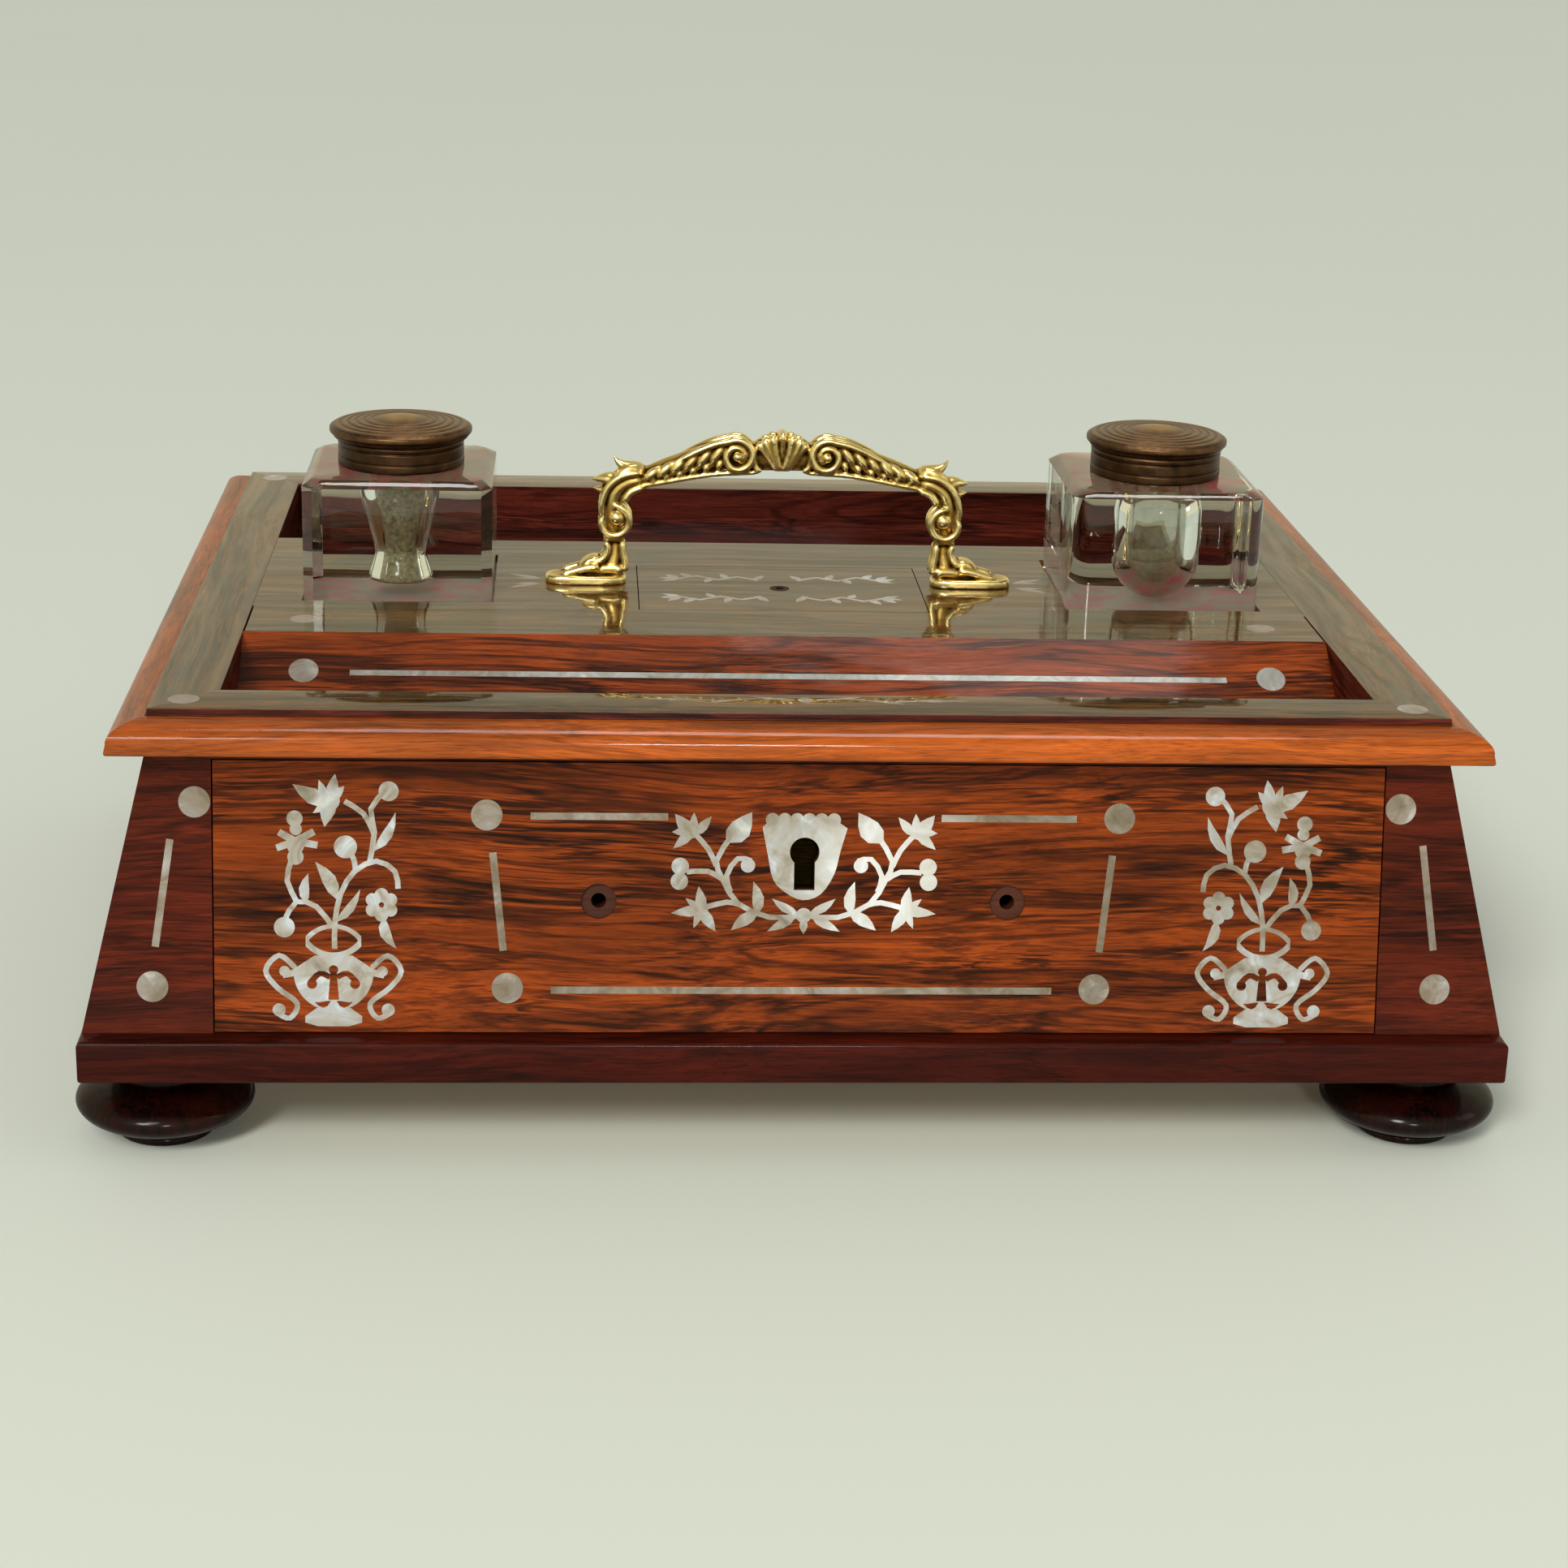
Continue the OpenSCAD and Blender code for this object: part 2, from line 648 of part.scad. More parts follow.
module urn_blooms() {
    disc([14.4, 64.3], 2.6);
    disc([-12.7, 28.3], 2.7);
    disc([3.2, 49.6], 3);
    disc([-1, 61.8], 2.8);
    leaf([0, 61], [-10.4, 66], 4.4, 0.6);
    leaf([-1.6, 61.4], [-3.6, 67.2], 2.4);
    leaf([-0.6, 61.4], [0.6, 68.8], 3.2);
    leaf([-0.8, 61.6], [3, 65.6], 2.6);
    leaf([0.2, 63.2], [-2.2, 54.8], 4.2, -0.4);
    leaf([0.6, 62.2], [-5.2, 58.4], 2.6);
    for (p = [[-9.9, 57, 2.1], [-9.6, 54.2, 1.6], [-9.7, 46.9, 2.1], [-9.7, 49.8, 2.2]])
        disc([p[0], p[1]], p[2]);
    for (p = [[-14, 53.4], [-14.6, 49.2], [-4.9, 53.6], [-4, 50]])
        stroke([[-9.7, 51], p], 2, 1.8, 1);
    difference() {
        union() {
            for (k = [0 : 5])
                disc([12.5, 34.3] + 2.7 * [sin(60 * k), cos(60 * k)], 1.75);
            disc([12.5, 34.3], 2.2);
        }
        disc([12.5, 34.3], 0.7);
    }
}

module urn_leaves() {
    leaf([12.9, 31.4], [16.4, 22.6], 3, -1.2);
    leaf([10.4, 48.4], [16.2, 58.8], 2.8, -1);
    leaf([1, 35.6], [-4.6, 45.6], 3.8, -0.8);
    leaf([0.6, 29.6], [7, 38.4], 2.4, -0.8);
    leaf([-6.9, 34.4], [-6.4, 42.6], 2.8, 0.9);
}

module urn_handle() {
    stroke([[9.4, 16.4], [13.2, 15.6]], 1.8, 1.8, 1);
    disc([12.7, 16.6], 1.4);
    stroke([[10, 17.6], [14.1, 20.8], [17.6, 16.8], [14.6, 12.2], [9.5, 8], [11.4, 4.1], [15, 5.6]], 1.4, 1.4);
    disc([14.2, 6.3], 1.7);
}

module urn_vase() {
    difference() {
        union() {
            intersection() {
                disc([0, 16.4], 10.4);
                translate([-12, 5]) square([24, 12.8]);
            }
            polygon([[-10, 17.4], [-4.9, 20.8], [4.9, 20.8], [10, 17.4]]);
            polygon([[-4.4, 6.8], [-7.4, 4.6], [-7.4, 2.9], [-4, 1.9], [4, 1.9], [7.4, 2.9], [7.4, 4.6], [4.4, 6.8]]);
        }
        disc([0, 17], 1.2);
        polygon([[-0.8, 17], [-1.4, 9], [1.4, 9], [0.8, 17]]);
        for (s = [0, 1]) mirror([s, 0]) {
            stroke([[0.9, 15], [3.6, 16], [6.2, 13.4]], 1.5, 1.6, 3);
            disc([5.6, 13.2], 1.3);
            leaf([0.7, 8.7], [5, 8.4], 1.7, -0.9);
        }
    }
    difference() {
        intersection() {
            translate([0, 29.6]) circle(9.6);
            translate([0, 19.6]) circle(9.6);
            translate([-7.2, 19]) square([14.4, 11]);
        }
        intersection() {
            translate([0, 29.6]) circle(8);
            translate([0, 20]) circle(8);
        }
    }
}

module urn_flowers() {
    urn_vase();
    for (s = [0, 1]) mirror([s, 0]) urn_handle();
    urn_stems();
    urn_blooms();
    urn_leaves();
}

module escutcheon() { color(pearl) let_in(0, veneer_t) tulip(); }
module centre_spray() { color(pearl) let_in(0, veneer_t) centre_flowers(); }
module drawer_stringing() { color(pearl) let_in(0, veneer_t) front_stringing(); }
module urn_spray_left() { color(pearl) let_in(0, veneer_t) urn_place() urn_flowers(); }
module urn_spray_right() { color(pearl) let_in(0, veneer_t) mirror([1, 0]) urn_place() urn_flowers(); }

// Moulded top frame
module rail_outline() {
    flat = frame_w - mould_w;
    step = 2.2;
    nose = 3.6;
    fall = frame_t - step - nose;
    thumb = [for (a = [0 : 10 : 80])
        [flat + 0.5 + (mould_w - 0.7) * sin(a) / sin(80), -step - fall * 0.85 * (1 - cos(a)) / (1 - cos(80))]];
    polygon(concat([[0, 0], [flat, 0], [flat, -step]], thumb,
        [[frame_w, -step - fall], [frame_w, -step - fall - 0.6], [frame_w - 0.9, -frame_t], [0, -frame_t]]));
}

module frame_rail(side) {
    half = (abs(side) == 90 ? open_d : open_w) / 2;
    color(rosewood) difference() {
        mitred(side, [open_w, open_d], [top_w + fine, top_d + fine])
            translate([half, 0, z_deck]) rotate([90, 0, 0]) linear_extrude(2 * top_w, center = true) rail_outline();
        translate([0, 0, z_deck - veneer_t]) linear_extrude(veneer_t + cut) frame_pearl();
    }
}

module frame_front() { frame_rail(-90); }
module frame_back() { frame_rail(90); }
module frame_left() { frame_rail(180); }
module frame_right() { frame_rail(0); }

// Pearl let into the top
module frame_pearl() {
    inset = 8.6;
    for (x = [-1, 1], y = [-1, 1])
        disc([x * (open_w / 2 + inset), y * (open_d / 2 + inset)], dot_r);
    for (s = [0, 1]) mirror([s, 0]) translate([0, -open_d / 2 - 5]) {
        stroke([[3, 0], [12, 1.4], [22, -1.2], [34, 1]], 1.2, 1.2, 2);
        leaf([8, 1], [15, 3], 1.6);
        leaf([18, 0], [26, -3], 1.8);
        leaf([28, 0], [44, 0], 2);
    }
    disc([0, -open_d / 2 - 5], 2);
}

module strip_pearl() {
    for (s = [-1, 1])
        disc([s * (open_w / 2 - 16), strip_y - strip_w / 2], dot_r);
}

module sprig() {
    for (y = [-9, 9]) {
        leaf([2, y * 0.3], [11.5, y * 0.9], 2.6);
        leaf([2, y * 0.3], [10, y * 0.35], 1.8);
    }
}

module deck_pearl() {
    for (s = [0, 1]) mirror([s, 0]) translate([handle_span / 2, handle_y]) sprig();
}

// Local x runs along the trough, y down its sloping board and z out of it
module on_trough() {
    translate([0, arris_y, z_deck]) rotate([trough_angle, 0, 0]) mirror([0, 1, 0]) children();
}

module trough_pearl() {
    dot_x = open_w / 2 - 17.5;
    line_x = dot_x - 12.7;
    for (s = [-1, 1])
        disc([s * dot_x, trough_pearl_down], dot_r);
    translate([-line_x, trough_pearl_down + 0.6 - line_w / 2]) square([2 * line_x, line_w]);
}

module top_inlay() {
    color(pearl) {
        translate([0, 0, z_deck - veneer_t]) linear_extrude(veneer_t) {
            frame_pearl();
            strip_pearl();
            deck_pearl();
        }
        on_trough() translate([0, 0, -veneer_t]) linear_extrude(veneer_t) trough_pearl();
    }
}

// Tray under and inside the frame
module tray_base() {
    x = face_x(z_floor) - wall / cos(side_tilt) - run_fit;
    back = -face_y(z_floor) - wall / cos(tilt) - run_fit;
    color(pine) slab([-x, -open_d / 2 - lining_t - 0.4, z_base], [x, back, z_floor]);
}

module tray_lining() {
    color(rosewood_dark) difference() {
        slab([-open_w / 2 - lining_t, -open_d / 2 - lining_t, z_floor], [open_w / 2 + lining_t, open_d / 2 + lining_t, z_frame]);
        slab([-open_w / 2, -open_d / 2, z_floor - cut], [open_w / 2, open_d / 2, z_frame + cut]);
    }
}

module glass_recess(side, width) {
    w = width / 2 + glass_gap;
    well_place(side) slab([-w, -w, recess_z], [w, w, z_deck + cut]);
}

module deck() {
    hole = lid_size / 2 + [lid_gap, lid_gap];
    color(rosewood_dark) difference() {
        slab([-open_w / 2, strip_y, z_deck_under], [open_w / 2, well_y, z_deck]);
        glass_recess(-1, glass_left_w);
        glass_recess(1, glass_right_w);
        slab([-hole[0], strip_y - cut, z_deck_under - cut], [hole[0], lid_y + hole[1], z_deck + cut]);
        translate([0, 0, z_deck - veneer_t]) linear_extrude(veneer_t + cut) deck_pearl();
        handle_screw_places() translate([0, 0, -deck_t - cut]) cylinder(r = handle_screw_r, h = deck_t + 2 * cut);
    }
}

module deck_strip() {
    back_bevel = deck_t / tan(90 - trough_angle / 2);
    color(rosewood_dark) difference() {
        translate([-open_w / 2 + 0.5, 0, 0]) rotate([90, 0, 90]) linear_extrude(open_w - 1)
            polygon([[strip_y, z_deck], [arris_y, z_deck], [arris_y + back_bevel, z_deck_under], [strip_y, z_deck_under]]);
        translate([0, 0, z_deck - veneer_t]) linear_extrude(veneer_t + cut) strip_pearl();
    }
}

module trough_board() {
    back_bevel = deck_t / tan(90 - trough_angle / 2);
    board_t = deck_t / cos(trough_angle);
    color(rosewood) difference() {
        translate([-open_w / 2, 0, 0]) rotate([90, 0, 90]) linear_extrude(open_w)
            polygon([[arris_y, z_deck], [arris_y - trough_run, z_floor], [arris_y - trough_run + board_t + 4, z_floor],
                [arris_y + back_bevel, z_deck_under]]);
        on_trough() translate([0, 0, -veneer_t]) linear_extrude(veneer_t + cut) trough_pearl();
    }
}

module well_floor() {
    color(rosewood) slab([-open_w / 2, well_y, z_floor], [open_w / 2, open_d / 2, z_deck - well_depth]);
}

module deck_bearer() {
    color(rosewood_dark) slab([-open_w / 2, well_y - 5, z_floor], [open_w / 2, well_y, z_deck_under]);
}

// Compartment under the inlaid lid
module compartment_box() {
    inside = lid_size / 2 - [ledge, ledge];
    outside = inside + [comp_wall + ledge, comp_wall + ledge];
    color(mahogany) translate([0, lid_y, 0]) difference() {
        slab([-outside[0], -outside[1], z_floor], [outside[0], outside[1], z_deck_under]);
        slab([-inside[0], -inside[1], z_floor - cut], [inside[0], inside[1], z_deck_under + cut]);
    }
}

// Drawn 36 mm out from the lid's middle and 17 mm back
module scrollwork() {
    reach = lid_size / 2 - [6, 8];
    for (sx = [0, 1], sy = [0, 1]) mirror([sx, 0]) mirror([0, sy]) scale([reach[0] / 36, reach[1] / 17]) {
        stem([[6, 9], [12, 13], [18, 9.5], [24, 13.5], [30, 10]]);
        leaf([7, 9.6], [4, 15], 2.6);
        leaf([15, 11], [17, 16.4], 2.6);
        leaf([20, 11], [22, 6], 2.6);
        leaf([26, 12], [29, 17], 2.8);
        for (k = [-30, 10, 50])
            leaf([29.6, 10.4], [29.6, 10.4] + 6.4 * [cos(k), sin(k)], 2.6);
    }
}

module compartment_lid() {
    color(rosewood) translate([0, lid_y, 0]) difference() {
        slab([-lid_size[0] / 2, -lid_size[1] / 2, z_deck_under], [lid_size[0] / 2, lid_size[1] / 2, z_deck]);
        translate([0, 0, z_deck_under - cut]) cylinder(r = lid_hole_r, h = deck_t + 2 * cut);
        translate([0, 0, z_deck - veneer_t]) linear_extrude(veneer_t + cut) scrollwork();
    }
}

module lid_scrollwork() {
    color(pearl) translate([0, lid_y, z_deck - veneer_t]) linear_extrude(veneer_t) scrollwork();
}

// Inkwells
module well_place(side) {
    translate([side * ink_x, ink_y, 0]) children();
}

module bevelled_side(w) {
    half = w / 2;
    rotate([90, 0, 0]) linear_extrude(w + cut, center = true)
        polygon([[-half, glass_z], [half, glass_z], [half, glass_top - glass_bevel[1]], [half - glass_bevel[0], glass_top],
            [-half + glass_bevel[0], glass_top], [-half, glass_top - glass_bevel[1]]]);
}

module bevelled_block(w) {
    intersection() {
        bevelled_side(w);
        rotate([0, 0, 90]) bevelled_side(w);
        translate([0, 0, glass_z]) linear_extrude(glass_h) children();
    }
}

module cut_square(w, c) {
    h = w / 2;
    polygon([[-h, -h + c], [-h + c, -h], [h - c, -h], [h, -h + c], [h, h - c], [h - c, h], [-h + c, h], [-h, h - c]]);
}

module round_square(w, r) {
    h = w / 2;
    square([w, w - 2 * r], center = true);
    square([w - 2 * r, w], center = true);
    for (x = [-1, 1], y = [-1, 1]) disc([x * (h - r), y * (h - r)], r);
}

module inkwell_left() {
    top = glass_top + neck_h;
    floor_z = glass_z + 4;
    color(glass) well_place(-1) difference() {
        union() {
            bevelled_block(glass_left_w) cut_square(glass_left_w, glass_corner[0]);
            translate([0, 0, glass_top - fine]) cylinder(r = neck_r, h = neck_h + fine);
        }
        rotate_extrude()
            polygon([[0, floor_z], [9.2, floor_z], [9.6, floor_z + 2], [7.4, floor_z + 9], [mouth_r, floor_z + 24],
                [mouth_r, top + cut], [0, top + cut]]);
    }
}

module inkwell_right() {
    bowl_r = mouth_r + 1.7;
    floor_z = glass_z + 3.4;
    color(glass) well_place(1) difference() {
        union() {
            bevelled_block(glass_right_w) round_square(glass_right_w, glass_corner[1]);
            translate([0, 0, glass_top - fine]) cylinder(r = neck_r, h = neck_h + fine);
        }
        translate([0, 0, floor_z + bowl_r]) sphere(bowl_r);
        translate([0, 0, floor_z + bowl_r]) cylinder(r = bowl_r, h = glass_h - bowl_r - 9);
        translate([0, 0, floor_z + bowl_r]) cylinder(r = mouth_r, h = glass_h);
    }
}

module collar(side) {
    knuckle_end = knuckle_w / 2 + 0.1;
    arm = 3.2;
    color(bronze) well_place(side) difference() {
        union() {
            rotate_extrude($fn = 96)
                polygon([[neck_r + run_fit, glass_top], [collar_r, glass_top], [collar_r, glass_top + 1.2],
                    [collar_r - 0.7, glass_top + 1.8], [collar_r - 0.7, lid_z - 2], [collar_r, lid_z - 1.4],
                    [collar_r, lid_z - 0.1], [mouth_r + 1.5, lid_z - 0.1], [mouth_r + 1.5, glass_top + neck_h + 0.1],
                    [neck_r + run_fit, glass_top + neck_h + 0.1]]);
            for (s = [0, 1]) mirror([s, 0, 0]) {
                slab([knuckle_end, collar_r - 1.2, lid_z - 3.4], [knuckle_end + arm, hinge_back, lid_z - 0.15]);
                translate([knuckle_end, hinge_back, hinge_z]) rotate([0, 90, 0]) cylinder(r = knuckle_r, h = arm);
            }
        }
        translate([-knuckle_w * 2, hinge_back, hinge_z]) rotate([0, 90, 0]) cylinder(r = pin_r, h = knuckle_w * 4);
    }
}

module collar_left() { collar(-1); }
module collar_right() { collar(1); }

module lid_outline() {
    rings = 4;
    ring = brim_r * 0.72 / rings;
    ridges = [for (i = [rings - 1 : -1 : 0], k = [0 : 3])
        [brim_r * 0.2 + ring * (i + 1 - k / 4), lid_z + brim_t + dome_h * (0.62 - 0.5 * (i + 1) / rings) + 0.45 * sin(180 * k / 4)]];
    polygon(concat([[0, lid_z + 1.4], [brim_r - 5, lid_z + 1.4], [brim_r - 5, lid_z], [brim_r - 0.7, lid_z],
        [brim_r, lid_z + 0.8], [brim_r, lid_z + brim_t - 0.9], [brim_r - 0.6, lid_z + brim_t]], ridges,
        [[brim_r * 0.2, lid_z + brim_t + dome_h * 0.7], [brim_r * 0.14, lid_z + brim_t + dome_h * 0.92], [0, lid_z + brim_t + dome_h]]));
}

module inkwell_lid(side) {
    color(bronze) well_place(side) difference() {
        union() {
            rotate_extrude($fn = 96) lid_outline();
            slab([-knuckle_w / 2, brim_r - 4, lid_z + 0.4], [knuckle_w / 2, hinge_back, hinge_z + knuckle_r]);
            translate([-knuckle_w / 2, hinge_back, hinge_z]) rotate([0, 90, 0]) cylinder(r = knuckle_r, h = knuckle_w);
        }
        translate([-knuckle_w, hinge_back, hinge_z]) rotate([0, 90, 0]) cylinder(r = pin_r + run_fit, h = 2 * knuckle_w);
    }
}

module inkwell_lid_left() { inkwell_lid(-1); }
module inkwell_lid_right() { inkwell_lid(1); }

module lid_pin(side) {
    half = knuckle_w / 2 + 3.3;
    color(brass) well_place(side) translate([-half, hinge_back, hinge_z]) rotate([0, 90, 0]) cylinder(r = pin_r, h = 2 * half);
}

module lid_pin_left() { lid_pin(-1); }
module lid_pin_right() { lid_pin(1); }

module recess_felts() {
    color(felt) for (g = [[-1, glass_left_w], [1, glass_right_w]]) well_place(g[0]) {
        w = g[1] / 2 + glass_gap;
        slab([-w, -w, recess_z], [w, w, recess_z + felt_t - fine]);
    }
}

// Cast handle, seen from the front, x from its middle and y up from the deck
module handle_screw_places() {
    for (s = [-1, 1]) translate([s * screw_x, handle_y, z_deck]) children();
}

module handle_arch() {
    polygon(concat(
        smooth([[-42, 33.6], [-32.3, 38.4], [-23, 42.6], [-13.5, 44.2], [0, 43.6]], 4),
        smooth([[0, 34.4], [-15, 34.3], [-27.1, 33.2], [-39.6, 30.2]], 4)));
    disc([-12.8, 39.4], 5);
    for (a = [-36, -12])
        stroke([[0, 36], [11 * sin(a), 36 + 10.4 * cos(a)]], 2.4, 4, 1);
}

module handle_leg() {
    stroke([[-38.6, 32.6], [-46, 32], [-51.6, 28], [-53.6, 22.4], [-50.4, 16.8], [-48.6, 11], [-50.6, 5]], 6, 7.4, 4);
    disc([-49.8, 20.2], 4.8);
    leaf([-44, 34.6], [-52.4, 39.2], 5, 1);
    leaf([-46, 31], [-57, 31.2], 5.2, -1);
    leaf([-48, 11], [-54.8, 14.8], 4.4, 1);
}

module handle_foot() {
    tip = handle_span / 2;
    polygon(concat([[-tip + 23.4, 0], [-tip, 0], [-tip, 1.2]],
        smooth([[-tip + 0.6, 2], [-tip + 6, 3.6], [-tip + 10.6, 4.4], [-tip + 12.6, 7.2], [-tip + 16, 8.6]], 3),
        [[-tip + 23.4, 8.2]]));
}

module plate(t) {
    translate([0, handle_y, z_deck]) rotate([90, 0, 0]) linear_extrude(t, center = true) children();
}

// The casting is drawn 138 mm wide and 46.5 mm high, with its legs 42 mm out
module handle() {
    rise = handle_h / 46.5;
    shift = handle_span / 2 - 69;
    color(brass) difference() {
        for (s = [0, 1]) mirror([s, 0, 0]) {
            plate(handle_t) scale([1 + shift / 42, rise]) handle_arch();
            plate(handle_t * 0.9) translate([-shift, 0]) scale([1, rise]) handle_leg();
            plate(handle_foot_t) handle_foot();
        }
        handle_screw_places() translate([0, 0, -cut]) cylinder(r = handle_screw_r, h = 6 + cut);
    }
}

module handle_screws() {
    color(brass) handle_screw_places() {
        translate([0, 0, -deck_t]) cylinder(r = handle_screw_r, h = deck_t + 6);
        translate([0, 0, -deck_t - 1.8]) cylinder(r = handle_screw_r * 2, h = 1.8);
    }
}

foot_front_left();
foot_front_right();
foot_back_left();
foot_back_right();
plinth_front();
plinth_back();
plinth_left();
plinth_right();
bottom_board();
case_side_left();
case_side_right();
case_back();
stile_left();
stile_right();
top_rail();
rail_blocks();
drawer_guide_left();
drawer_guide_right();
drawer_stops();
drawer_front();
drawer_veneer();
drawer_side_left();
drawer_side_right();
drawer_back();
drawer_bottom();
lock_case();
lock_bolt();
lock_screws();
escutcheon();
urn_spray_left();
urn_spray_right();
centre_spray();
drawer_stringing();
stile_inlay();
frame_front();
frame_back();
frame_left();
frame_right();
top_inlay();
tray_base();
tray_lining();
deck();
deck_strip();
trough_board();
well_floor();
deck_bearer();
compartment_box();
compartment_lid();
lid_scrollwork();
inkwell_left();
inkwell_right();
collar_left();
collar_right();
inkwell_lid_left();
inkwell_lid_right();
lid_pin_left();
lid_pin_right();
recess_felts();
handle();
handle_screws();
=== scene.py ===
"""Looks of a rosewood desk stand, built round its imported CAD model.

Shape functions work in millimetres, x to the right, y to the back and z up. A
mesh is put down in metres, so that every finished object sits at the origin.
"""

import math

import bmesh
import bpy
import numpy as np
from mathutils import Matrix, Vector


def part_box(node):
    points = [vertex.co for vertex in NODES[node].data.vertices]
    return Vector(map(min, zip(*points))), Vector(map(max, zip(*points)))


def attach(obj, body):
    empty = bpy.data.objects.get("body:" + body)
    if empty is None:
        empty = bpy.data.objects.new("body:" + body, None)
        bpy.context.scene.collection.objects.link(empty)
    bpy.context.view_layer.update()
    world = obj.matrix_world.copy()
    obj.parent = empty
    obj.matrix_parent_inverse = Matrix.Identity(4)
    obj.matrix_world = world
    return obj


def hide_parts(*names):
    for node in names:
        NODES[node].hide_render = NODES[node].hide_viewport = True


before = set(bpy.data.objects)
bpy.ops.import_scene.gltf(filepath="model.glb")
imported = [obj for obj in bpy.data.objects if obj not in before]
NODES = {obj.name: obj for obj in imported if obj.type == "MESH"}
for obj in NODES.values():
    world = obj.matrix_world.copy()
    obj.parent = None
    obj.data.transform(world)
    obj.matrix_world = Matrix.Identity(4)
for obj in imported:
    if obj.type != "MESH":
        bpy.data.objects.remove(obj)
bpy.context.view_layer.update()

bl_info = {
    "name": "Inlaid desk stand",
    "version": (1, 0, 0),
    "blender": (4, 5, 0),
    "location": "View3D > Sidebar > Desk stand",
    "description": "Dresses the desk stand's solids and adds its cast, turned and glass pieces",
    "category": "Object",
}

MM = 0.001

# Numbers of the construction, in millimetres
Z_CASE = 35.5
Z_DECK = 121.0
OPENING = (306.0, 236.0)
RAIL_WIDTH = 27.0
PLINTH_HOLE = (360.0, 288.0)
WELL_X, WELL_Y = 112.0, -1.5
GLASS_Z, GLASS_TOP, NECK_TOP = 118.5, 156.0, 161.0
LID_Z = 164.0
HINGE = (22.6, 164.1)
HANDLE_Y = -4.0

# The rails of plinth and top in the order in which they go round
SIDES = ("front", "right", "back", "left")


def tint(code):
    """Linear RGBA of an sRGB hex value: (s + 0.055) / 1.055 to the power 2.4, or s / 12.92 near black."""
    s = np.array([int(code[i : i + 2], 16) for i in (1, 3, 5)]) / 255
    linear = np.where(s <= 0.04045, s / 12.92, ((s + 0.055) / 1.055) ** 2.4)
    return (*linear.tolist(), 1.0)


def size(name, description, metres):
    """A length that the panel can set."""
    return bpy.props.FloatProperty(name=name, description=description, default=metres, subtype="DISTANCE")


def colour(name, description, code):
    """A colour that the panel can set."""
    return bpy.props.FloatVectorProperty(
        name=name, description=description, subtype="COLOR", size=4, min=0, max=1, default=tint(code)
    )


class DeskStandSizes(bpy.types.PropertyGroup):
    """Sizes of the pieces that are modelled here."""

    bun_radius: size("Bun radius", "Greatest radius of a turned foot", 0.0238)
    neck_radius: size("Neck radius", "Radius of a foot's neck under the plinth", 0.016)
    moulding: size("Moulding width", "Width of the thumb moulding round the top", 0.010)
    left_glass: size("Left glass", "Width of the glass with cut corners", 0.0544)
    right_glass: size("Right glass", "Width of the glass with round corners", 0.057)
    lid_radius: size("Lid radius", "Radius of an inkwell lid's brim", 0.0208)
    lid_rings: bpy.props.IntProperty(
        name="Lid rings", description="Turned rings on an inkwell lid", default=5, min=3
    )
    cast_detail: size("Casting detail", "Size of the cells that fuse the handle", 0.00034)


class DeskStandColours(bpy.types.PropertyGroup):
    """Colours of the finishes."""

    drawer: colour("Drawer rosewood", "Middle tone of the drawer front", "#8e3c0e")
    stile: colour("Stile rosewood", "Middle tone of the posts beside the drawer", "#5e1f0c")
    # painted light: the deck's rosewood made brighter and more orange for the moulded edge, where the front
    # light falls
    moulding: colour("Moulding rosewood", "Middle tone of the moulded edge", "#b4561a")
    deck: colour("Deck rosewood", "Middle tone of the polished top", "#704a22")
    # painted shade: a darker rosewood for faces in shade, inside the tray and the well, on the top rail under
    # the moulding and on the moulding's fillet
    well: colour("Well rosewood", "Dark inner faces of the tray and quirk of the moulding", "#5a2216")
    plinth: colour("Plinth", "Middle tone of plinth and feet", "#481409")
    pearl: colour("Pearl", "Mother of pearl", "#a7a19b")
    brass: colour("Brass", "Cast brass of the handle", "#b8954a")
    bronze: colour("Bronze", "Aged brass of lids and collars", "#735439")
    felt: colour("Felt", "Wool felt under the inkwells", "#b0343c")
    floor: colour("Floor", "Plain pale surround", "#d6dbcd")


WHITE = (1.0, 1.0, 1.0, 1.0)
# the thick, yellowed polish of the tray's top
TOP_POLISH = {"gloss": 0.035, "coat": 1.0, "film": 1.52, "film_tint": tint("#efe0b4")}


def times(shade, k):
    """A colour k times as strong, each channel at most 1."""
    return (*[min(1.0, c * k) for c in shade[:3]], 1.0)


def add(tree, kind, inputs=None, stops=(), out=0, **settings):
    """Adds a shader node, sets its properties, and fills or links its inputs.

    A ramp also gets its (place, colour) stops, the first two of them the outermost. Returns the output named
    by out, or the node itself where out is None.
    """
    made = tree.nodes.new("ShaderNode" + kind)
    for key, value in settings.items():
        setattr(made, key, value)
    for key, value in (inputs or {}).items():
        if isinstance(value, bpy.types.NodeSocket):
            tree.links.new(value, made.inputs[key])
        else:
            made.inputs[key].default_value = value
    for index, (place, shade) in enumerate(stops):
        elements = made.color_ramp.elements
        stop = elements[index] if index < 2 else elements.new(place)
        stop.position, stop.color = place, shade
    return made if out is None else made.outputs[out]


def finish_material(name, build):
    """Makes a material whose Principled sockets are what build(tree, Object coordinates) returns."""
    made = bpy.data.materials.new(name)
    made.use_nodes = True
    tree = made.node_tree
    tree.nodes.clear()
    surface = add(tree, "BsdfPrincipled", build(tree, add(tree, "TexCoord", out="Object")))
    add(tree, "OutputMaterial", {"Surface": surface}, out=None)
    return made


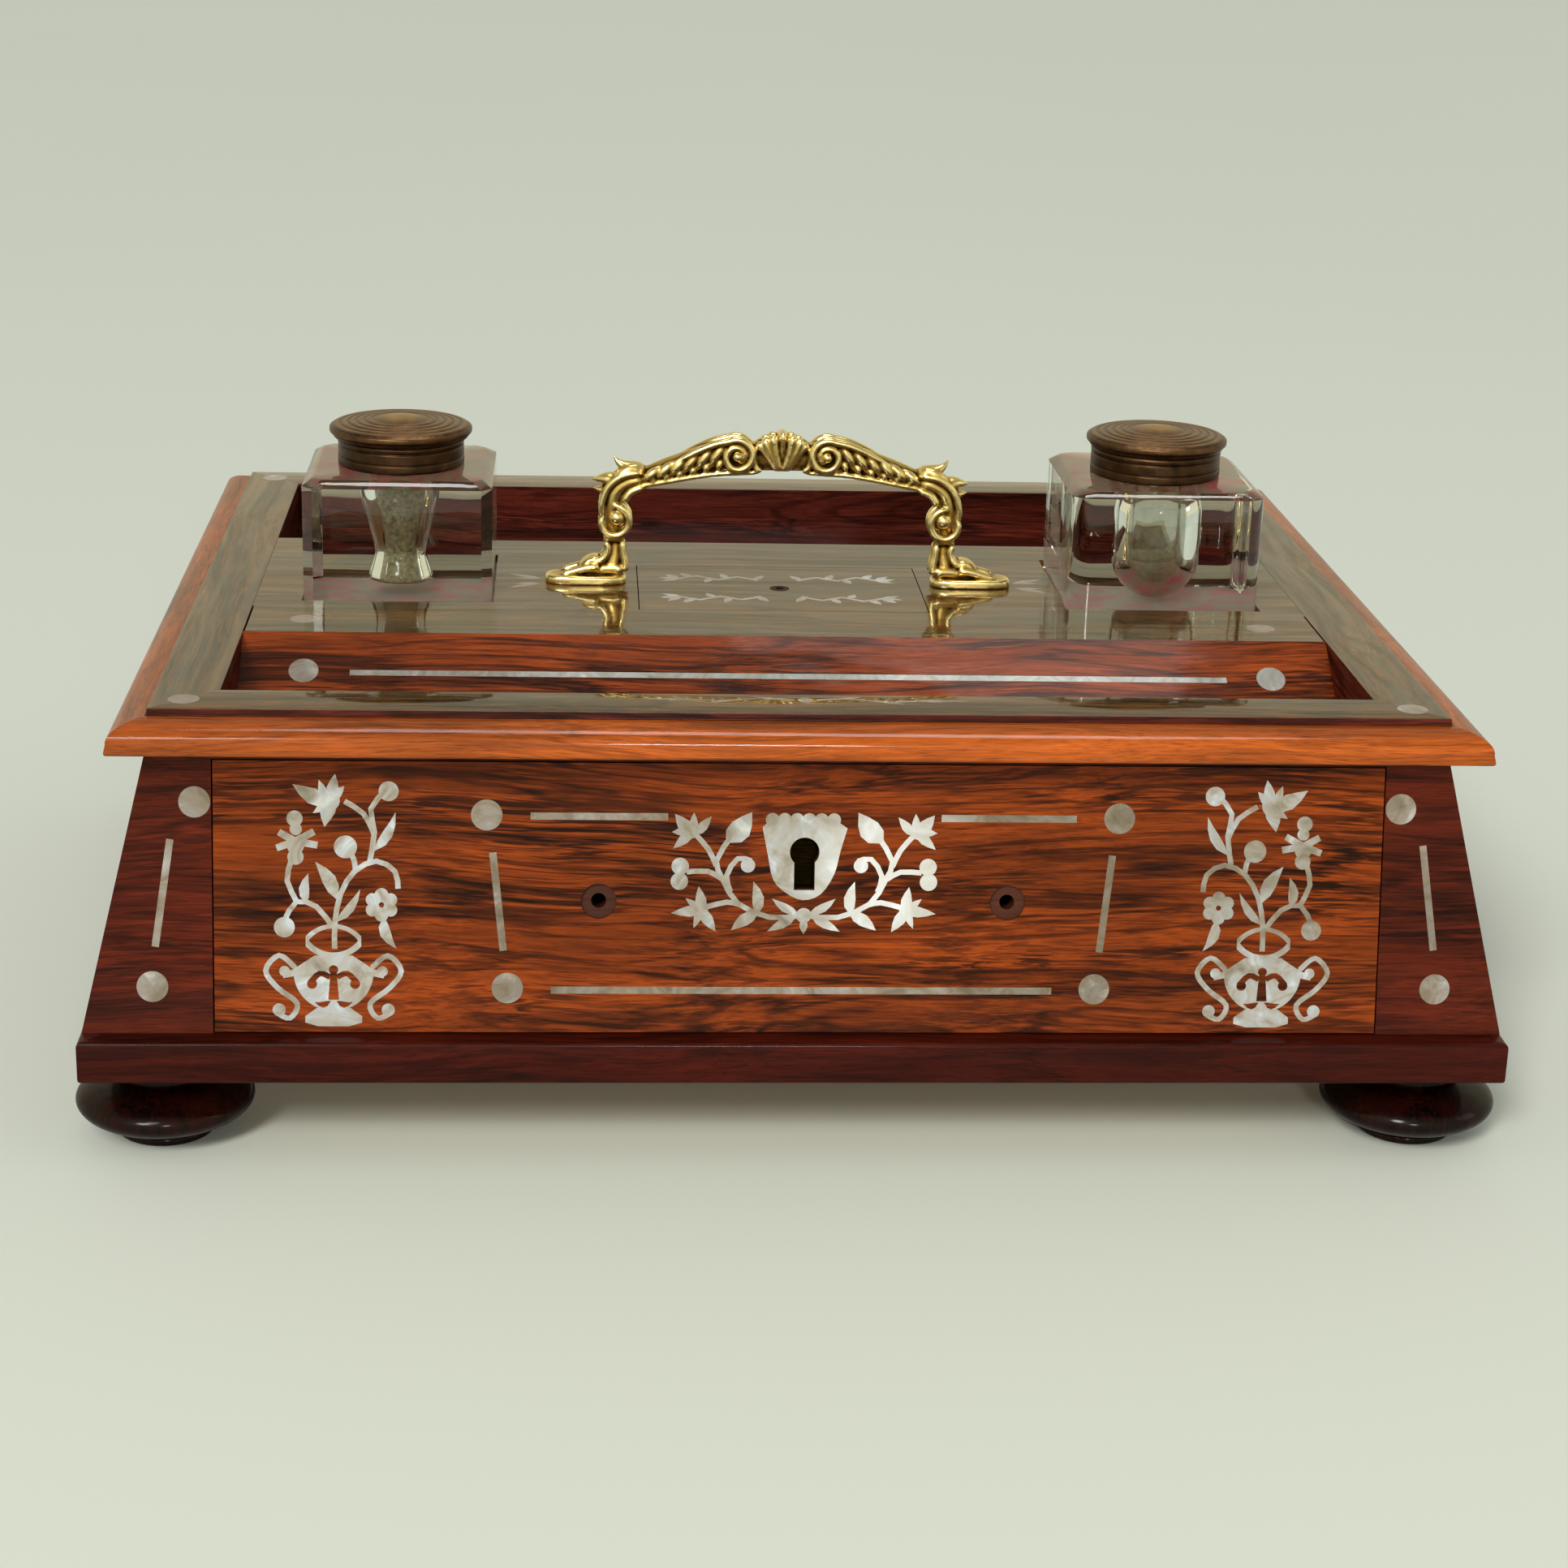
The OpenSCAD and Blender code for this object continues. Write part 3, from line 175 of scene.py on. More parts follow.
def french_polished_rosewood(
    name, middle, along, seed, gloss=0.07, coat=0.2, streaks=0.9, film=1.45, film_tint=WHITE
):
    """Rosewood: orange brown with fine black streaks, under a shellac skin that shows sharp reflections.

    Noise is stretched along the grain, which wanders 5 mm. Figure 12 mm wide, bands of streaks 16 mm,
    streaks 1.1 mm by 30 mm, veins that run on for 200 mm, fibres 0.5 mm, pores 0.35 mm.
    """

    def build(tree, at):
        sway = add(tree, "TexNoise", {"Vector": at, "Scale": 11.0, "Detail": 1.0}, out=1)
        sway = add(tree, "VectorMath", {0: sway, 1: (0.011,) * 3, 2: at}, operation="MULTIPLY_ADD")

        def stretched(wide, ratio, detail, bend, shift=0.0):
            scale = [1000 / wide] * 3
            scale[along] /= ratio
            offset = (seed + shift, seed * 1.7, seed * 0.6 - shift)
            place = add(tree, "Mapping", {"Vector": sway, "Location": offset, "Scale": scale})
            values = {"Vector": place, "Scale": 1.0, "Detail": detail, "Roughness": 0.6, "Distortion": bend}
            return add(tree, "TexNoise", values)

        def toned(value, low, high, dark):
            return add(tree, "ValToRGB", {"Fac": value}, stops=[(low, times(WHITE, dark)), (high, WHITE)])

        figure = [
            (0.30, times(middle, 0.5)), (0.72, times(middle, 1.5)), (0.44, times(middle, 0.82)),
            (0.53, middle), (0.62, times(middle, 1.22)),
        ]
        wood = add(tree, "ValToRGB", {"Fac": stretched(12, 8, 5, 0.4)}, stops=figure)
        bands = {"Value": stretched(16, 5, 3, 0.8), "From Min": 0.42, "From Max": 0.62, "To Min": 0.25}
        bands = add(tree, "Math", {0: add(tree, "MapRange", bands), 1: streaks}, operation="MULTIPLY")
        pore = toned(stretched(0.35, 22, 1, 0), 0.34, 0.46, 0.35)
        dark = times(WHITE, 0.12)
        vein_stops = [(0.462, WHITE), (0.538, WHITE), (0.492, dark), (0.508, dark)]
        veins = add(tree, "ValToRGB", {"Fac": stretched(15, 15, 4, 0.8, 9.0)}, stops=vein_stops)
        layers = (
            (bands, toned(stretched(1.1, 28, 2, 0.9), 0.43, 0.56, 0.06)),
            (0.75 * streaks, toned(stretched(3.0, 20, 3, 1.2, 5.0), 0.32, 0.46, 0.12)),
            (0.8 * streaks, veins),
            (0.55, toned(stretched(0.5, 22, 2, 0.2), 0.3, 0.7, 0.5)),
            (0.5, pore),
        )
        for weight, layer in layers:
            blend = {0: weight, 6: wood, 7: layer}
            wood = add(tree, "Mix", blend, out=2, data_type="RGBA", blend_type="MULTIPLY")
        # the polish is thinner over the soft bands of the grain
        sheen = {"Value": stretched(4, 40, 4, 0.4, 2.0), "From Min": 0.36, "From Max": 0.62}
        sheen = add(tree, "MapRange", {**sheen, "To Min": 0.7 * coat, "To Max": coat})
        height = add(tree, "Math", {0: stretched(26, 2, 2, 0), 1: 0.9}, operation="MULTIPLY")
        height = add(tree, "Math", {0: pore, 1: 0.012, 2: height}, operation="MULTIPLY_ADD")
        skin = add(tree, "Bump", {"Strength": 0.25, "Distance": 0.0012, "Height": height})
        return {
            "Base Color": wood, "Roughness": 0.45, "IOR": 1.5, "Specular IOR Level": 0.05,
            "Coat Weight": sheen, "Coat Roughness": gloss, "Coat IOR": film, "Coat Tint": film_tint,
            "Coat Normal": skin, "Normal": skin,
        }

    return finish_material(name, build)


def both_ways(name, middle, seed, **finish):
    """One rosewood with its grain along x, for front and back, and along y, for the sides."""
    return [
        french_polished_rosewood(f"{name}, {way}", middle, along, seed, **finish)
        for along, way in enumerate(("crosswise", "lengthwise"))
    ]


def planed_timber(name, middle, along, seed):
    """Plain secondary timber, planed and waxed: figure 9 mm wide, straight fibres 1.1 mm, little gloss."""

    def build(tree, at):
        layers = []
        for wide, ratio, bend in ((9.0, 14.0, 0.6), (1.1, 40.0, 0.0)):
            scale = [1000 / wide] * 3
            scale[along] /= ratio
            place = add(tree, "Mapping", {"Vector": at, "Location": (seed,) * 3, "Scale": scale})
            values = {"Vector": place, "Scale": 1.0, "Detail": 4.0, "Distortion": bend}
            layers.append(add(tree, "TexNoise", values))
        figure, fibres = layers
        body_stops = [(0.3, times(middle, 0.62)), (0.7, times(middle, 1.25))]
        body = add(tree, "ValToRGB", {"Fac": figure}, stops=body_stops)
        lines = add(tree, "ValToRGB", {"Fac": fibres}, stops=[(0.35, times(WHITE, 0.62)), (0.52, WHITE)])
        blend = {0: 0.8, 6: body, 7: lines}
        wood = add(tree, "Mix", blend, out=2, data_type="RGBA", blend_type="MULTIPLY")
        skin = add(tree, "Bump", {"Strength": 0.3, "Distance": 0.0002, "Height": fibres})
        return {"Base Color": wood, "Roughness": 0.55, "IOR": 1.5, "Specular IOR Level": 0.15, "Normal": skin}

    return finish_material(name, build)


def polished_mother_of_pearl(name, middle, cast):
    """Nacre ground flush: silver grey, with lilac, blue and beige clouds 10 mm across and a thin film; a
    painted highlight whitens it round the middle of the drawer front.
    """

    def build(tree, at):
        clouds = {"Vector": at, "Scale": 100.0, "Detail": 3.0, "Roughness": 0.6, "Distortion": 1.2}
        cloud_stops = [
            (0.30, tint("#7d7267")), (0.72, tint("#d3d8d8")), (0.42, tint("#968d83")), (0.50, middle),
            (0.59, tint("#adb0b6")),
        ]
        shell = add(tree, "ValToRGB", {"Fac": add(tree, "TexNoise", clouds)}, stops=cloud_stops)
        broad = add(tree, "TexNoise", {"Vector": at, "Scale": 22.0, "Detail": 1.0})
        broad = add(tree, "ValToRGB", {"Fac": broad}, stops=[(0.38, tint("#c9bcae")), (0.60, WHITE)])
        for weight, layer in ((0.8, broad), (1.0, cast)):
            blend = {0: weight, 6: shell, 7: layer}
            shell = add(tree, "Mix", blend, out=2, data_type="RGBA", blend_type="MULTIPLY")
        # painted highlight: the shell is whitened round a point in the middle of the drawer front, where the
        # front light reflects
        painted_highlight_centre = (0.022, -0.155, 0.08)
        away = add(tree, "VectorMath", {0: at, 1: painted_highlight_centre}, out="Value", operation="DISTANCE")
        reach = {"Value": away, "From Min": 0.008, "From Max": 0.032, "To Min": 0.85, "To Max": 0.0}
        blend = {0: add(tree, "MapRange", reach), 6: shell, 7: tint("#f3f1ec")}
        shell = add(tree, "Mix", blend, out=2, data_type="RGBA")
        return {
            "Base Color": shell, "Roughness": 0.26, "IOR": 1.53, "Coat Weight": 0.4, "Coat Roughness": 0.06,
            "Thin Film Thickness": 420.0, "Thin Film IOR": 1.6,
        }

    return finish_material(name, build)


def chased_brass(name, middle):
    """Cast brass, chased and polished: the wear attribute runs from dark hollows to bright ridges."""

    def build(tree, at):
        wear = add(tree, "Attribute", out="Fac", attribute_name="wear")
        mottle = add(tree, "TexNoise", {"Vector": at, "Scale": 420.0, "Detail": 4.0})
        worn = add(tree, "Math", {0: mottle, 1: 0.34, 2: wear}, operation="MULTIPLY_ADD")
        worn = add(tree, "Math", {0: worn, 1: 0.17}, operation="SUBTRACT")
        tones = [
            (0.10, tint("#241a0a")), (0.95, tint("#f0dc9c")), (0.34, tint("#6e5524")), (0.52, middle),
            (0.72, tint("#dcbf74")),
        ]
        body = add(tree, "ValToRGB", {"Fac": worn}, stops=tones)
        rough = add(tree, "MapRange", {"Value": worn, "To Min": 0.5, "To Max": 0.24})
        skin = add(tree, "Bump", {"Strength": 0.2, "Distance": 0.0002, "Height": mottle})
        return {"Base Color": body, "Metallic": 1.0, "Roughness": rough, "Normal": skin}

    return finish_material(name, build)


def aged_spun_brass(name, middle):
    """Spun brass gone brown: coppery rubbed edges, and a golden centre where the wear attribute is high."""

    def build(tree, at):
        wear = add(tree, "Attribute", out="Fac", attribute_name="wear")
        mottle = add(tree, "TexNoise", {"Vector": at, "Scale": 260.0, "Detail": 5.0, "Roughness": 0.6})
        worn = add(tree, "Math", {0: mottle, 1: 0.5, 2: wear}, operation="MULTIPLY_ADD")
        worn = add(tree, "Math", {0: worn, 1: 0.25}, operation="SUBTRACT")
        tones = [
            (0.05, tint("#1b1512")), (0.97, tint("#c79a35")), (0.30, times(middle, 0.45)), (0.55, middle),
            (0.78, tint("#a5834c")),
        ]
        body = add(tree, "ValToRGB", {"Fac": worn}, stops=tones)
        rough = add(tree, "MapRange", {"Value": mottle, "To Min": 0.28, "To Max": 0.5})
        skin = add(tree, "Bump", {"Strength": 0.25, "Distance": 0.0002, "Height": mottle})
        return {"Base Color": body, "Metallic": 1.0, "Roughness": rough, "Normal": skin}

    return finish_material(name, build)


def filed_brass(name, tone=1.0):
    """Plain lock and screw brass, dulled: file marks 0.3 mm apart. A tone under 1 darkens it, as painted
    shade on the lock seen through the keyhole.
    """

    def build(tree, at):
        marks = add(tree, "Mapping", {"Vector": at, "Scale": (300.0, 3000.0, 3000.0)})
        lines = add(tree, "TexNoise", {"Vector": marks, "Scale": 1.0, "Detail": 2.0})
        tones = [(0.3, times(tint("#6c5426"), tone)), (0.7, times(tint("#b08f4a"), tone))]
        body = add(tree, "ValToRGB", {"Fac": lines}, stops=tones)
        skin = add(tree, "Bump", {"Strength": 0.3, "Distance": 0.0001, "Height": lines})
        return {"Base Color": body, "Metallic": 1.0, "Roughness": 0.4, "Normal": skin}

    return finish_material(name, build)


def cut_lead_glass(name):
    """Cut and polished glass: nearly clear with a faint green, and slow waves from hand polishing."""

    def build(tree, at):
        waves = add(tree, "TexNoise", {"Vector": at, "Scale": 60.0, "Detail": 1.0})
        skin = add(tree, "Bump", {"Strength": 0.12, "Distance": 0.0015, "Height": waves})
        return {
            "Base Color": tint("#f1f6f0"), "Roughness": 0.0, "IOR": 1.52, "Transmission Weight": 1.0,
            "Normal": skin,
        }

    return finish_material(name, build)


def wool_felt(name, middle):
    """Pressed wool: matt, fibres 0.6 mm apart, faded in patches 8 mm wide, with a sheen of loose ends."""

    def build(tree, at):
        fibres = add(tree, "TexNoise", {"Vector": at, "Scale": 1600.0, "Detail": 4.0, "Distortion": 2.0})
        red = [(0.3, times(middle, 0.6)), (0.7, times(middle, 1.3))]
        body = add(tree, "ValToRGB", {"Fac": fibres}, stops=red)
        patches = add(tree, "TexNoise", {"Vector": at, "Scale": 130.0, "Detail": 3.0, "Distortion": 0.6})
        faded = add(tree, "MapRange", {"Value": patches, "From Min": 0.36, "From Max": 0.54, "To Max": 0.85})
        body = add(tree, "Mix", {0: faded, 6: body, 7: tint("#80765c")}, out=2, data_type="RGBA")
        skin = add(tree, "Bump", {"Strength": 0.7, "Distance": 0.0003, "Height": fibres})
        return {"Base Color": body, "Roughness": 0.95, "Sheen Weight": 0.4, "Normal": skin}

    return finish_material(name, build)


def dried_ink(name, clear):
    """Dusty film that dried ink leaves on a reservoir's wall: olive grey, thin enough to see through."""

    def build(tree, at):
        dust = add(tree, "TexNoise", {"Vector": at, "Scale": 700.0, "Detail": 4.0, "Roughness": 0.7})
        body = add(tree, "ValToRGB", {"Fac": dust}, stops=[(0.3, tint("#6a5d40")), (0.7, tint("#c2b48e"))])
        return {"Base Color": body, "Roughness": 0.7, "Alpha": 1 - clear, "Specular IOR Level": 0.2}

    return finish_material(name, build)


def quads(n_u, n_v, close_u, close_v):
    """Corner numbers of the cells of an n_u by n_v grid, going round where a direction is closed."""
    i, j = np.meshgrid(
        np.arange(n_u if close_u else n_u - 1), np.arange(n_v if close_v else n_v - 1), indexing="ij"
    )
    i, j = i.ravel(), j.ravel()
    k, m = (i + 1) % n_u, (j + 1) % n_v
    return np.stack([i * n_v + j, k * n_v + j, k * n_v + m, i * n_v + m], axis=1)


def sheet(points, close_u=False, close_v=False, wear=0.5, caps=False):
    """One grid of points as (points, cells, wear, end loops)."""
    n_u, n_v = points.shape[:2]
    ends = [np.arange(n_v)[::-1], np.arange(n_v) + (n_u - 1) * n_v] if caps else []
    tones = np.broadcast_to(wear, (n_u, n_v)).ravel()
    return points.reshape(-1, 3), quads(n_u, n_v, close_u, close_v), tones, ends


def smooth(mesh, sharp):
    """Shades a mesh smooth, apart from edges where its faces turn by more than sharp degrees."""
    mesh.polygons.foreach_set("use_smooth", np.ones(len(mesh.polygons), bool))
    mesh.set_sharp_from_angle(angle=math.radians(sharp))
    mesh.update()


def put(name, data):
    """Makes an object of this data in the scene."""
    made = bpy.data.objects.new(name, data)
    bpy.context.scene.collection.objects.link(made)
    return made


def joined(name, sheets, sharp=35.0):
    """Joins sheets into one mesh object, in metres, with doubled points merged and faces turned outwards."""
    points, faces, wear, start = [], [], [], 0
    for spots, cells, tone, ends in sheets:
        points.append(spots)
        faces += (cells + start).tolist() + [(e + start).tolist() for e in ends]
        wear.append(tone)
        start += len(spots)
    mesh = bpy.data.meshes.new(name)
    mesh.from_pydata((np.concatenate(points) * MM).tolist(), [], faces)
    layer = mesh.attributes.new("wear", "FLOAT", "POINT")
    layer.data.foreach_set("value", np.concatenate(wear).astype(np.float32))
    work = bmesh.new()
    work.from_mesh(mesh)
    bmesh.ops.remove_doubles(work, verts=work.verts, dist=2e-7)
    bmesh.ops.dissolve_degenerate(work, edges=work.edges, dist=1e-7)
    bmesh.ops.recalc_face_normals(work, faces=work.faces)
    work.to_mesh(mesh)
    work.free()
    smooth(mesh, sharp)
    return put(name, mesh)


def dress(piece, material, body, slot, *replaced):
    """Gives a piece its material and the body it rides on, and hides the nodes it stands for; slot is not
    used.
    """
    piece.data.materials.append(material)
    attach(piece, body)
    if replaced:
        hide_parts(*replaced)
    return piece


def middle_of(name):
    """The middle of a node's box, seen from above."""
    lo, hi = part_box(name)
    return (lo.x + hi.x) / 2 / MM, (lo.y + hi.y) / 2 / MM


def flowing(points, per=8):
    """Catmull-Rom curve: each cubic runs from point b to point c and leaves along c - a."""
    p = np.asarray(points, float)
    p = np.vstack([2 * p[0] - p[1], p, 2 * p[-1] - p[-2]])
    t = np.linspace(0, len(p) - 3, (len(p) - 3) * per + 1)
    i = np.minimum(t.astype(int), len(p) - 4)
    f = (t - i)[:, None]
    a, b, c, d = p[i], p[i + 1], p[i + 2], p[i + 3]
    return 0.5 * (2 * b + (c - a) * f + (2 * a - 5 * b + 4 * c - d) * f**2 + (3 * b - 3 * c + d - a) * f**3)


def turned(profile, centre, ring=96, wear=0.5):
    """Solid of revolution: the point (r, z) of the profile goes round the axis through centre."""
    profile = np.asarray(profile, float)
    a = np.linspace(0, 2 * np.pi, ring, endpoint=False)[:, None]
    x = centre[0] + profile[:, 0] * np.cos(a)
    y = centre[1] + profile[:, 0] * np.sin(a)
    z = np.broadcast_to(profile[:, 1], x.shape)
    return sheet(np.stack([x, y, z], axis=-1), close_u=True, wear=wear)


def rounded(corners, radius, steps=5):
    """Rounds each corner of an open outline by a quadratic curve that starts and ends radius away from it."""
    p = np.asarray(corners, float)
    a, b, c = p[:-2], p[1:-1], p[2:]
    near = np.minimum(radius, 0.45 * np.linalg.norm(a - b, axis=1))[:, None]
    far = np.minimum(radius, 0.45 * np.linalg.norm(c - b, axis=1))[:, None]
    start = b + (a - b) / np.linalg.norm(a - b, axis=1)[:, None] * near
    stop = b + (c - b) / np.linalg.norm(c - b, axis=1)[:, None] * far
    t = np.linspace(0, 1, steps)[None, :, None]
    curve = start[:, None] * (1 - t) ** 2 + 2 * b[:, None] * t * (1 - t) + stop[:, None] * t**2
    return np.vstack([p[:1], curve.reshape(-1, 2), p[-1:]])


def bun_profile(radius, neck):
    """Squashed ball on a small turned pad, with a hollow neck and a thin ring under the plinth."""
    a = np.radians(np.linspace(-58, 60, 40))
    bun = np.stack([radius * np.cos(a) ** 0.9, 9.8 + 7.6 * np.sin(a)], axis=1)
    pad = rounded([[0, 0], [13.0, 0], [13.4, 1.6], [12.6, 2.6], bun[0]], 0.8)
    throat = [bun[-1], [neck - 2.0, 17.4], [neck - 2.4, 21.6], [neck, 22.4], [neck, 24.0], [0, 24.0]]
    return np.vstack([pad[:-1], bun, rounded(throat, 1.0)[1:]])


def rail_profile(moulding):
    """Section of a top rail, out from the tray and down: flat, fillet, thumb curve, nose and underside."""
    flat = RAIL_WIDTH - moulding
    bend = np.linspace(0, 1, 22) * np.pi / 2
    out = flat + 0.6 + (moulding - 1.1) * np.sin(bend) ** 1.15
    thumb = np.stack([out, -1.9 - 5.2 * (1 - np.cos(bend) ** 0.8)], axis=1)
    edge = rounded([[0, -10], [0, -0.04], [flat, -0.04], [flat + 0.1, -1.9], thumb[0]], 0.3)
    nose = rounded([thumb[-1], [RAIL_WIDTH, -9.3], [RAIL_WIDTH - 0.5, -10], [0, -10]], 0.5)
    return np.vstack([edge, thumb[1:-1], nose[:-1]])


def mitred_rail(side, profile, hole, top):
    """Rail round a hole: the section point (d, z) runs at distance d outside it, mitre to mitre."""
    half = np.array(hole) / 2
    d, z = profile[:, 0], top + profile[:, 1]
    ends = np.array([[-1.0], [1.0]])
    along, out = half[side % 2] + d, half[1 - side % 2] + d
    sign = 1 if side in (1, 2) else -1
    path = [ends * along, np.broadcast_to(sign * out, (2, len(d)))]
    if side % 2:
        path = path[::-1]
    grid = np.stack([*path, np.broadcast_to(z, (2, len(d)))], axis=-1)
    return sheet(grid, close_v=True, caps=True)


def block_outline(width, corner, style, count=14):
    """Plan of a glass block, counter-clockwise from the middle of its right side: cut or round corners."""
    h = width / 2
    straight = np.linspace(-1, 1, count)[:, None]
    t = np.linspace(0, 1, 9)[1:-1, None]
    side = np.hstack([np.full_like(straight, h), straight * (h - corner)])
    if style == "cut":
        bend = np.hstack([h - corner * t, h - corner * (1 - t)])
    else:
        arc = t * np.pi / 2
        bend = np.hstack([h - corner + corner * np.cos(arc), h - corner + corner * np.sin(arc)])
    quarters = []
    for k in range(4):
        c, s = np.cos(k * np.pi / 2), np.sin(k * np.pi / 2)
        quarters.append(np.vstack([side, bend]) @ np.array([[c, s], [-s, c]]))
    return np.vstack(quarters)


def glass_block(centre, width, corner, style, bevel, cavity):
    """Block and neck outside, reservoir inside, as one skin.

    Row by row the plan goes from the outline, drawn in by an inset, to circles of the neck and the reservoir,
    whose points keep the outline's angles.
    """
    plan = block_outline(width, corner, style)
    angle = np.arctan2(plan[:, 1], plan[:, 0])
    circle = np.stack([np.cos(angle), np.sin(angle)], axis=1)
    half = width / 2
    rows = [
        (0.02, GLASS_Z), (0.6, GLASS_Z), (0.88, GLASS_Z), (1 - 0.5 / half, GLASS_Z), (1.0, GLASS_Z + 0.5),
        (1.0, GLASS_Z + 12), (1.0, GLASS_Z + 24), (1.0, GLASS_TOP - bevel[1] - 0.25),
        (1 - 0.2 / half, GLASS_TOP - bevel[1]), (1 - (bevel[0] - 0.3) / half, GLASS_TOP - 0.15),
        (1 - (bevel[0] + 0.3) / half, GLASS_TOP),
    ]
    skin = [np.hstack([plan * s, np.full((len(plan), 1), z)]) for s, z in rows]
    top = NECK_TOP
    neck = [(15.9, GLASS_TOP), (15.6, GLASS_TOP + 0.3), (15.6, top - 0.2), (15.3, top), (11.8, top)]
    skin += [np.hstack([circle * r, np.full((len(plan), 1), z)]) for r, z in neck + cavity]
    return sheet(np.stack(skin) + np.array([*centre, 0]), close_v=True)


def lid_profile(radius, rings):
    """Lid from its underside out to the brim, then low turned rings up to a golden boss, with its wear."""
    r = np.linspace(radius - 0.9, 0, 160)
    inside = np.clip(r / (radius - 0.9), 0, 1)
    boss = np.clip(1 - r / (radius * 0.42), 0, 1)
    ring = np.abs(np.sin(np.pi * rings * np.clip((inside - 0.42) / 0.58, 0, 1))) ** 0.6 * (inside > 0.42)
    z = LID_Z + 3.4 + 1.9 * (1 - inside**1.6) + 0.32 * ring + 0.8 * np.sin(boss * np.pi / 2)
    brim = [
        [radius - 5, LID_Z], [radius - 1.2, LID_Z], [radius - 0.9, LID_Z + 0.9], [radius, LID_Z + 1.5],
        [radius, LID_Z + 2.9], [radius - 0.9, z[0]],
    ]
    edge = rounded(brim, 0.4)
    crest = 0.42 * ring * np.clip((inside - 0.4) / 0.25, 0.2, 1)
    gold = 0.58 * np.clip(1.3 - inside * 1.9, 0, 1)
    wear = np.concatenate([[0.3, 0.3], np.full(len(edge), 0.38), 0.18 + crest + gold])
    recess = [[0, LID_Z + 1.4], [radius - 5, LID_Z + 1.4]]
    return np.vstack([recess, edge, np.stack([r, z], axis=1)]), wear


def barrel(centre, y, z, radius, x0, x1, arm):
    """Hinge knuckle: a round along x, its ends rounded, with a tongue that reaches to the lid or collar."""
    a = np.linspace(0, 2 * np.pi, 32, endpoint=False)
    across, up = radius * np.cos(a), radius * np.sin(a)
    across = np.where(across < 0, across - arm * np.abs(across) / radius, across)
    rows = [(x0, 0.0), (x0, 0.86), (x0 + 0.25, 1.0), (x1 - 0.25, 1.0), (x1, 0.86), (x1, 0.0)]
    grid = [np.stack([np.full_like(a, x), y + k * across, z + k * up], axis=1) for x, k in rows]
    return sheet(np.stack(grid) + np.array([*centre, 0]), close_v=True, wear=0.36)


def collar_profile(radius):
    """Collar round the glass neck: a plain band between fine grooves, foot and top rims, inside face."""
    z, r = GLASS_TOP, radius
    outer = [
        [15.66, z], [r - 0.2, z], [r + 0.1, z + 0.5], [r + 0.1, z + 2.3], [r - 0.3, z + 2.6], [r, z + 2.9],
        [r, z + 5.6], [r - 0.4, z + 5.9], [r, z + 6.2], [r + 0.1, z + 7.2], [r - 0.3, z + 7.88],
        [13.0, z + 7.88],
    ]
    return np.vstack([rounded(outer, 0.25), [[13.0, z + 5.1], [15.66, z + 5.1], [15.66, z]]])


def film_profile(cavity):
    """Thin film on the wall of a reservoir: its wall drawn in by 0.12 mm, then by 0.3 mm on the way back."""
    wall = np.asarray(cavity, float)
    run = np.gradient(wall, axis=0)
    out = np.stack([-run[:, 1], run[:, 0]], axis=1) / np.linalg.norm(run, axis=1)[:, None]
    near, far = [np.maximum(wall - out * gap, [0.0, 0.0]) for gap in (0.12, 0.3)]
    return np.vstack([near, far[::-1]])


def limb(points, radius, y=0.0, depth=1.0, leaf=0.0, ring=16):
    """Round bar along a flowing line of (x, z) points in a plane of constant y.

    Its radius runs evenly from radius[0] to radius[1]. The ends close as a superellipse, or with leaf > 0
    the whole radius swells as sin(pi * t ** leaf). depth scales the section from front to back.
    """
    line = flowing(points)
    t = np.linspace(0, 1, len(line))
    swell = np.sin(np.pi * t**leaf) if leaf else (1 - np.abs(2 * t - 1) ** 10) ** 0.5
    r = (radius[0] + (radius[1] - radius[0]) * t) * swell
    run = np.gradient(line, axis=0)
    run /= np.linalg.norm(run, axis=1)[:, None]
    a = np.linspace(0, 2 * np.pi, ring, endpoint=False)
    x = line[:, :1] - run[:, 1:] * r[:, None] * np.cos(a)
    z = line[:, 1:] + run[:, :1] * r[:, None] * np.cos(a)
    back = y + depth * r[:, None] * np.sin(a)
    return np.stack([x, back, z], axis=-1)


def ball(x, z, radius, y=0.0):
    """Sphere in latitude and longitude."""
    lat = np.linspace(-np.pi / 2, np.pi / 2, 13)[:, None]
    lon = np.linspace(0, 2 * np.pi, 20, endpoint=False)
    out, up = radius * np.cos(lat), radius * np.sin(lat) * np.ones_like(lon)
    return np.stack([x + out * np.cos(lon), y + out * np.sin(lon), z + up], axis=-1)


def foot_plate():
    """Low plate of the handle's foot: plan a superellipse with square shoulders, its top edge soft."""
    a = np.linspace(0, 2 * np.pi, 60, endpoint=False)
    c, s = np.cos(a), np.sin(a)
    x = 12.1 * np.sign(c) * np.abs(c) ** 0.55
    y = 5.3 * np.sign(s) * np.abs(s) ** 0.7
    rows = [
        (0.0, 0.0), (0.985, 0.0), (1.0, 0.2), (1.0, 1.8), (0.97, 2.3), (0.9, 2.6), (0.5, 2.75), (0.0, 2.8),
    ]
    return np.stack([np.stack([-57.6 + x * k, y * k, np.full_like(x, z)], axis=1) for k, z in rows])


